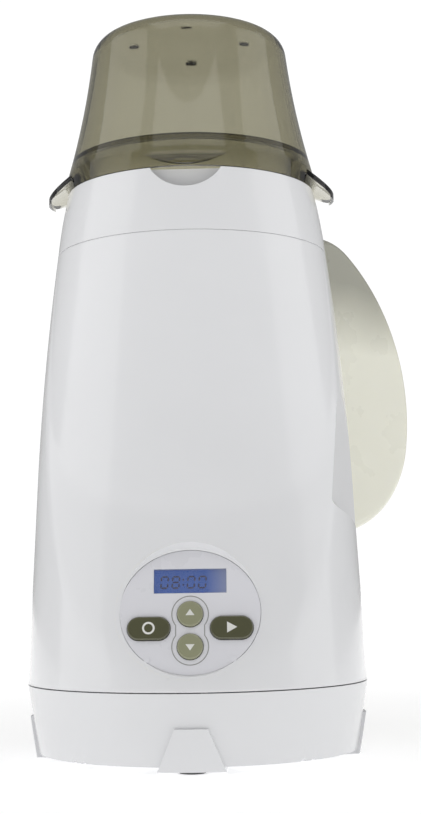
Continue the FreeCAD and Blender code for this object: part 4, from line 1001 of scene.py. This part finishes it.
def pad_item(tree, start):
    """A round rubber pad, a little narrower at the top."""
    return drum(tree, start["Radius"], start["Height"], 64, 0.94)


def grown(name, tree, values, body, slot, *nodes):
    """Runs a node tree with its inputs set and keeps the result as a plain piece."""
    holder = put(name, bpy.data.meshes.new(name + "_seed"))
    step = holder.modifiers.new("grow", "NODES")
    step.node_group = tree
    sockets = {item.name: item.identifier for item in tree.interface.items_tree
               if item.in_out == "INPUT"}
    for label, value in values.items():
        step[sockets[label]] = value
    settle(holder)
    if not holder.data.polygons:
        raise RuntimeError(name + " came out empty")
    smooth(holder, 32.0)
    return settle_in(holder, body, slot, *nodes)


class WARMER_OT_base_hardware(bpy.types.Operator):
    """Make the base screws and the rubber pads"""

    bl_idname = "warmer.base_hardware"
    bl_label = "Screws and pads"

    def execute(self, context):
        sizes = context.scene.warmer_base
        steel = metal("screw steel", (0.55, 0.55, 0.56), 0.28, 0.45)
        rubber = moulded("pad rubber", (0.10, 0.10, 0.10), 0.65, 0.85, 0.5)
        grown("base_screw_set", repeat_tree("Base screws", screw_item),
              {"Ring": sizes.screw_ring, "Count": sizes.count, "First angle": math.radians(45),
               "Centre": (AXIS.x, AXIS.y, sizes.screw_top), "Radius": sizes.screw_head,
               "Height": sizes.screw_thick, "Shank radius": sizes.screw_r,
               "Shank length": sizes.screw_long, "Finish": steel},
              "housing", "screw_steel", "base_screws")
        grown("foot_pad_set", repeat_tree("Rubber pads", pad_item),
              {"Ring": sizes.pad_ring, "Count": sizes.count, "First angle": 0.0,
               "Centre": (AXIS.x, AXIS.y, 0.0), "Radius": sizes.pad_r,
               "Height": sizes.pad_high, "Finish": rubber},
              "housing", "foot_rubber", "rubber_feet")
        return {"FINISHED"}


# ---------------------------------------------------------------- finishes of the other CAD nodes
# Slot, colour, roughness from and to, strength of the grain, and drift of the colour.
MOULDED_SLOTS = (
    ("gland_rubber", (0.55, 0.56, 0.57), 0.55, 0.7, 0.35),
    ("chamber_plastic", (0.72, 0.72, 0.70), 0.3, 0.42, 0.12),
    ("socket_plastic", (0.20, 0.20, 0.19), 0.35, 0.5, 0.2),
    ("board_black", (0.02, 0.02, 0.022), 0.35, 0.5, 0.2),
    ("board_green", (0.02, 0.16, 0.07), 0.3, 0.5, 0.15, 0.12),
    ("relay_blue", (0.03, 0.12, 0.35), 0.35, 0.45, 0.15),
    ("terminal_green", (0.05, 0.30, 0.12), 0.4, 0.5, 0.2),
    ("basket_white", (0.74, 0.74, 0.72), 0.28, 0.4, 0.12),
    ("valve_plastic", (0.70, 0.70, 0.66), 0.35, 0.5, 0.15),
)
# Slot, how much light goes in, then as above.
SILICONE_SLOTS = (
    ("seal_silicone", 0.3, (0.74, 0.73, 0.68), 0.45, 0.6, 0.2),
    ("hose_silicone", 0.4, (0.66, 0.64, 0.58), 0.4, 0.55, 0.2),
)
# Slot, colour, roughness from and to, and how far the marks are drawn out.
METAL_SLOTS = (
    ("boiler_aluminium", (0.80, 0.81, 0.82), 0.3, 0.5, (1, 1, 1)),
    ("element_steel", (0.42, 0.40, 0.38), 0.35, 0.55),
    ("control_metal", (0.70, 0.68, 0.62), 0.3, 0.45),
    ("shield_steel", (0.66, 0.67, 0.68), 0.25, 0.45, (1, 1, 20)),
    ("clip_steel", (0.62, 0.62, 0.62), 0.22, 0.38),
    ("spring_steel", (0.60, 0.60, 0.62), 0.18, 0.3),
)


def finish_table():
    """A finish for each slot whose CAD nodes stay."""
    table = {"window_clear": clear_window(),
             "screw_steel": metal("zinc screw steel", (0.58, 0.58, 0.57), 0.25, 0.42)}
    for slot, *values in MOULDED_SLOTS:
        table[slot] = moulded(slot.replace("_", " "), *values)
    for slot, milky, *values in SILICONE_SLOTS:
        table[slot] = moulded(slot.replace("_", " "), *values, Subsurface_Weight=milky,
                              Subsurface_Scale=0.003)
    for slot, *values in METAL_SLOTS:
        table[slot] = metal(slot.replace("_", " "), *values)
    return table


def clear_window():
    finish = Finish("window clear").set(Transmission_Weight=1.0, IOR=1.49)
    finish.tint((0.96, 0.97, 0.98), 0.01, 30.0)
    return finish.rough(0.02, 0.05, 40.0).grain(0.03, 400.0, 0.00005).material


def dress(name, finish):
    """Gives a kept CAD node its finish."""
    slots = frame["nodes"][name].data.materials
    slots.clear()
    slots.append(finish)


class WARMER_OT_finishes(bpy.types.Operator):
    """Give every CAD node that stays its own finish"""

    bl_idname = "warmer.finishes"
    bl_label = "Finishes"

    def execute(self, context):
        table = finish_table()
        for part in frame["record"]["subparts"]:
            finish = table.get(part["material_slot"])
            if finish and not frame["nodes"][part["node"]].hide_render:
                dress(part["node"], finish)
        return {"FINISHED"}


# ---------------------------------------------------------------- stage
GROUND_SEEN = 1.05
FLOOR_HALF = 6.0
FLOOR_DROP = 0.1 * MM


def soft_box(name, power, spot, aim, wide, high):
    """An area light turned towards a height on the upright through the origin."""
    light = bpy.data.lights.new(name, "AREA")
    light.shape = "RECTANGLE"
    light.size = wide
    light.size_y = high
    light.energy = power
    lamp = put(name, light)
    lamp.location = spot
    lamp.rotation_mode = "QUATERNION"
    lamp.rotation_quaternion = (Vector((0, 0, aim)) - Vector(spot)).to_track_quat("-Z", "Y")


def white_room(power):
    """Even light all round, and a white ground behind the object."""
    world = bpy.data.worlds.new("white room")
    bpy.context.scene.world = world
    world.use_nodes = True
    tree = world.node_tree
    kind = tree.nodes.new("ShaderNodeLightPath").outputs
    seen = add_node(tree, "ShaderNodeMath",
                    {0: kind["Is Camera Ray"], 1: kind["Is Transmission Ray"]}, operation="MAXIMUM")
    level = add_node(tree, "ShaderNodeMapRange",
                     {"To Min": power, "To Max": GROUND_SEEN, "Value": seen.outputs[0]})
    ground = tree.nodes["Background"]
    ground.inputs["Color"].default_value = (1, 1, 1, 1)
    tree.links.new(level.outputs["Result"], ground.inputs["Strength"])


def floor():
    """A pale glowing floor; its glow is weaker near the object, a painted shade round it, and
    brightens away from it.
    """
    work = bmesh.new()
    bmesh.ops.create_grid(work, x_segments=8, y_segments=8, size=FLOOR_HALF)
    finish = Finish("floor white").set(Roughness=0.9, IOR=1.2)
    finish.set(Emission_Color=(1, 1, 1, 1))
    finish.tint((0.93, 0.93, 0.93), 0.005, 3.0).grain(0.05, 200.0, 0.0001)
    # Painted shade: the floor's glow drops towards the object, darkening the floor round it.
    reach = add_node(finish.tree, "ShaderNodeVectorMath", {0: finish.coords}, operation="LENGTH")
    glow = add_node(finish.tree, "ShaderNodeMapRange",
                    {"From Min": 0.12, "From Max": 0.9, "To Min": 0.44, "To Max": 0.85,
                     "Value": reach.outputs["Value"]}, interpolation_type="SMOOTHSTEP")
    finish.feed(glow.outputs["Result"], "Emission Strength")
    ground = new_piece("stage_floor", work, finish.material)
    for vert in ground.data.vertices:
        vert.co.z = -FLOOR_DROP
    if ground.data.polygons[0].normal.z < 0:
        ground.data.flip_normals()


class WARMER_OT_stage(bpy.types.Operator):
    """Make the pale floor, the soft lights and the camera"""

    bl_idname = "warmer.stage"
    bl_label = "Stage"

    def execute(self, context):
        sizes = context.scene.warmer_stage
        context.scene.view_settings.view_transform = "Standard"
        white_room(sizes.sky)
        floor()
        soft_box("left_box", sizes.left, (-1.3, -0.28, 0.5), 0.14, 1.2, 1.6)
        soft_box("right_box", sizes.right, (1.3, -0.1, 0.5), 0.14, 1.0, 1.6)
        soft_box("high_box", sizes.top, (0.0, -0.62, 1.35), 0.1, 1.4, 0.9)
        lens = bpy.data.cameras.new("camera")
        lens.lens = sizes.lens
        lens.sensor_width = 36
        lens.clip_start = 0.01
        eye = put("camera", lens)
        eye.location = sizes.eye
        ahead = Vector((-math.sin(sizes.turn) * math.cos(sizes.tilt),
                        math.cos(sizes.turn) * math.cos(sizes.tilt), math.sin(sizes.tilt)))
        eye.rotation_mode = "QUATERNION"
        eye.rotation_quaternion = ahead.to_track_quat("-Z", "Y") @ Quaternion((0, 0, 1), sizes.roll)
        context.scene.camera = eye
        return {"FINISHED"}


# ---------------------------------------------------------------- sidebar and run
OPERATORS = (WARMER_OT_stage, WARMER_OT_housing, WARMER_OT_collar, WARMER_OT_base,
             WARMER_OT_base_hardware, WARMER_OT_lid, WARMER_OT_tank, WARMER_OT_panel,
             WARMER_OT_keys, WARMER_OT_finishes)


class WARMER_PT_panel(bpy.types.Panel):
    """The warmer's sizes, colours and steps"""

    bl_idname = "WARMER_PT_panel"
    bl_label = "Bottle Warmer"
    bl_space_type = "VIEW_3D"
    bl_region_type = "UI"
    bl_category = "Warmer"

    def draw(self, context):
        layout = self.layout
        for name, group in GROUPS.items():
            box = layout.box()
            box.label(text=group.__name__.replace("Warmer", ""))
            for field in group.__annotations__:
                box.prop(getattr(context.scene, name), field)
        for operator in OPERATORS:
            layout.operator(operator.bl_idname)


def register():
    for group in GROUPS.values():
        bpy.utils.register_class(group)
    for name, group in GROUPS.items():
        setattr(bpy.types.Scene, name, PointerProperty(type=group))
    for operator in OPERATORS:
        bpy.utils.register_class(operator)
    bpy.utils.register_class(WARMER_PT_panel)


def unregister():
    bpy.utils.unregister_class(WARMER_PT_panel)
    for operator in reversed(OPERATORS):
        bpy.utils.unregister_class(operator)
    for name in GROUPS:
        delattr(bpy.types.Scene, name)
    for group in reversed(list(GROUPS.values())):
        bpy.utils.unregister_class(group)


def main():
    register()
    for operator in OPERATORS:
        family, step = operator.bl_idname.split(".")
        getattr(getattr(bpy.ops, family), step)()


if __name__ == "__main__":
    main()
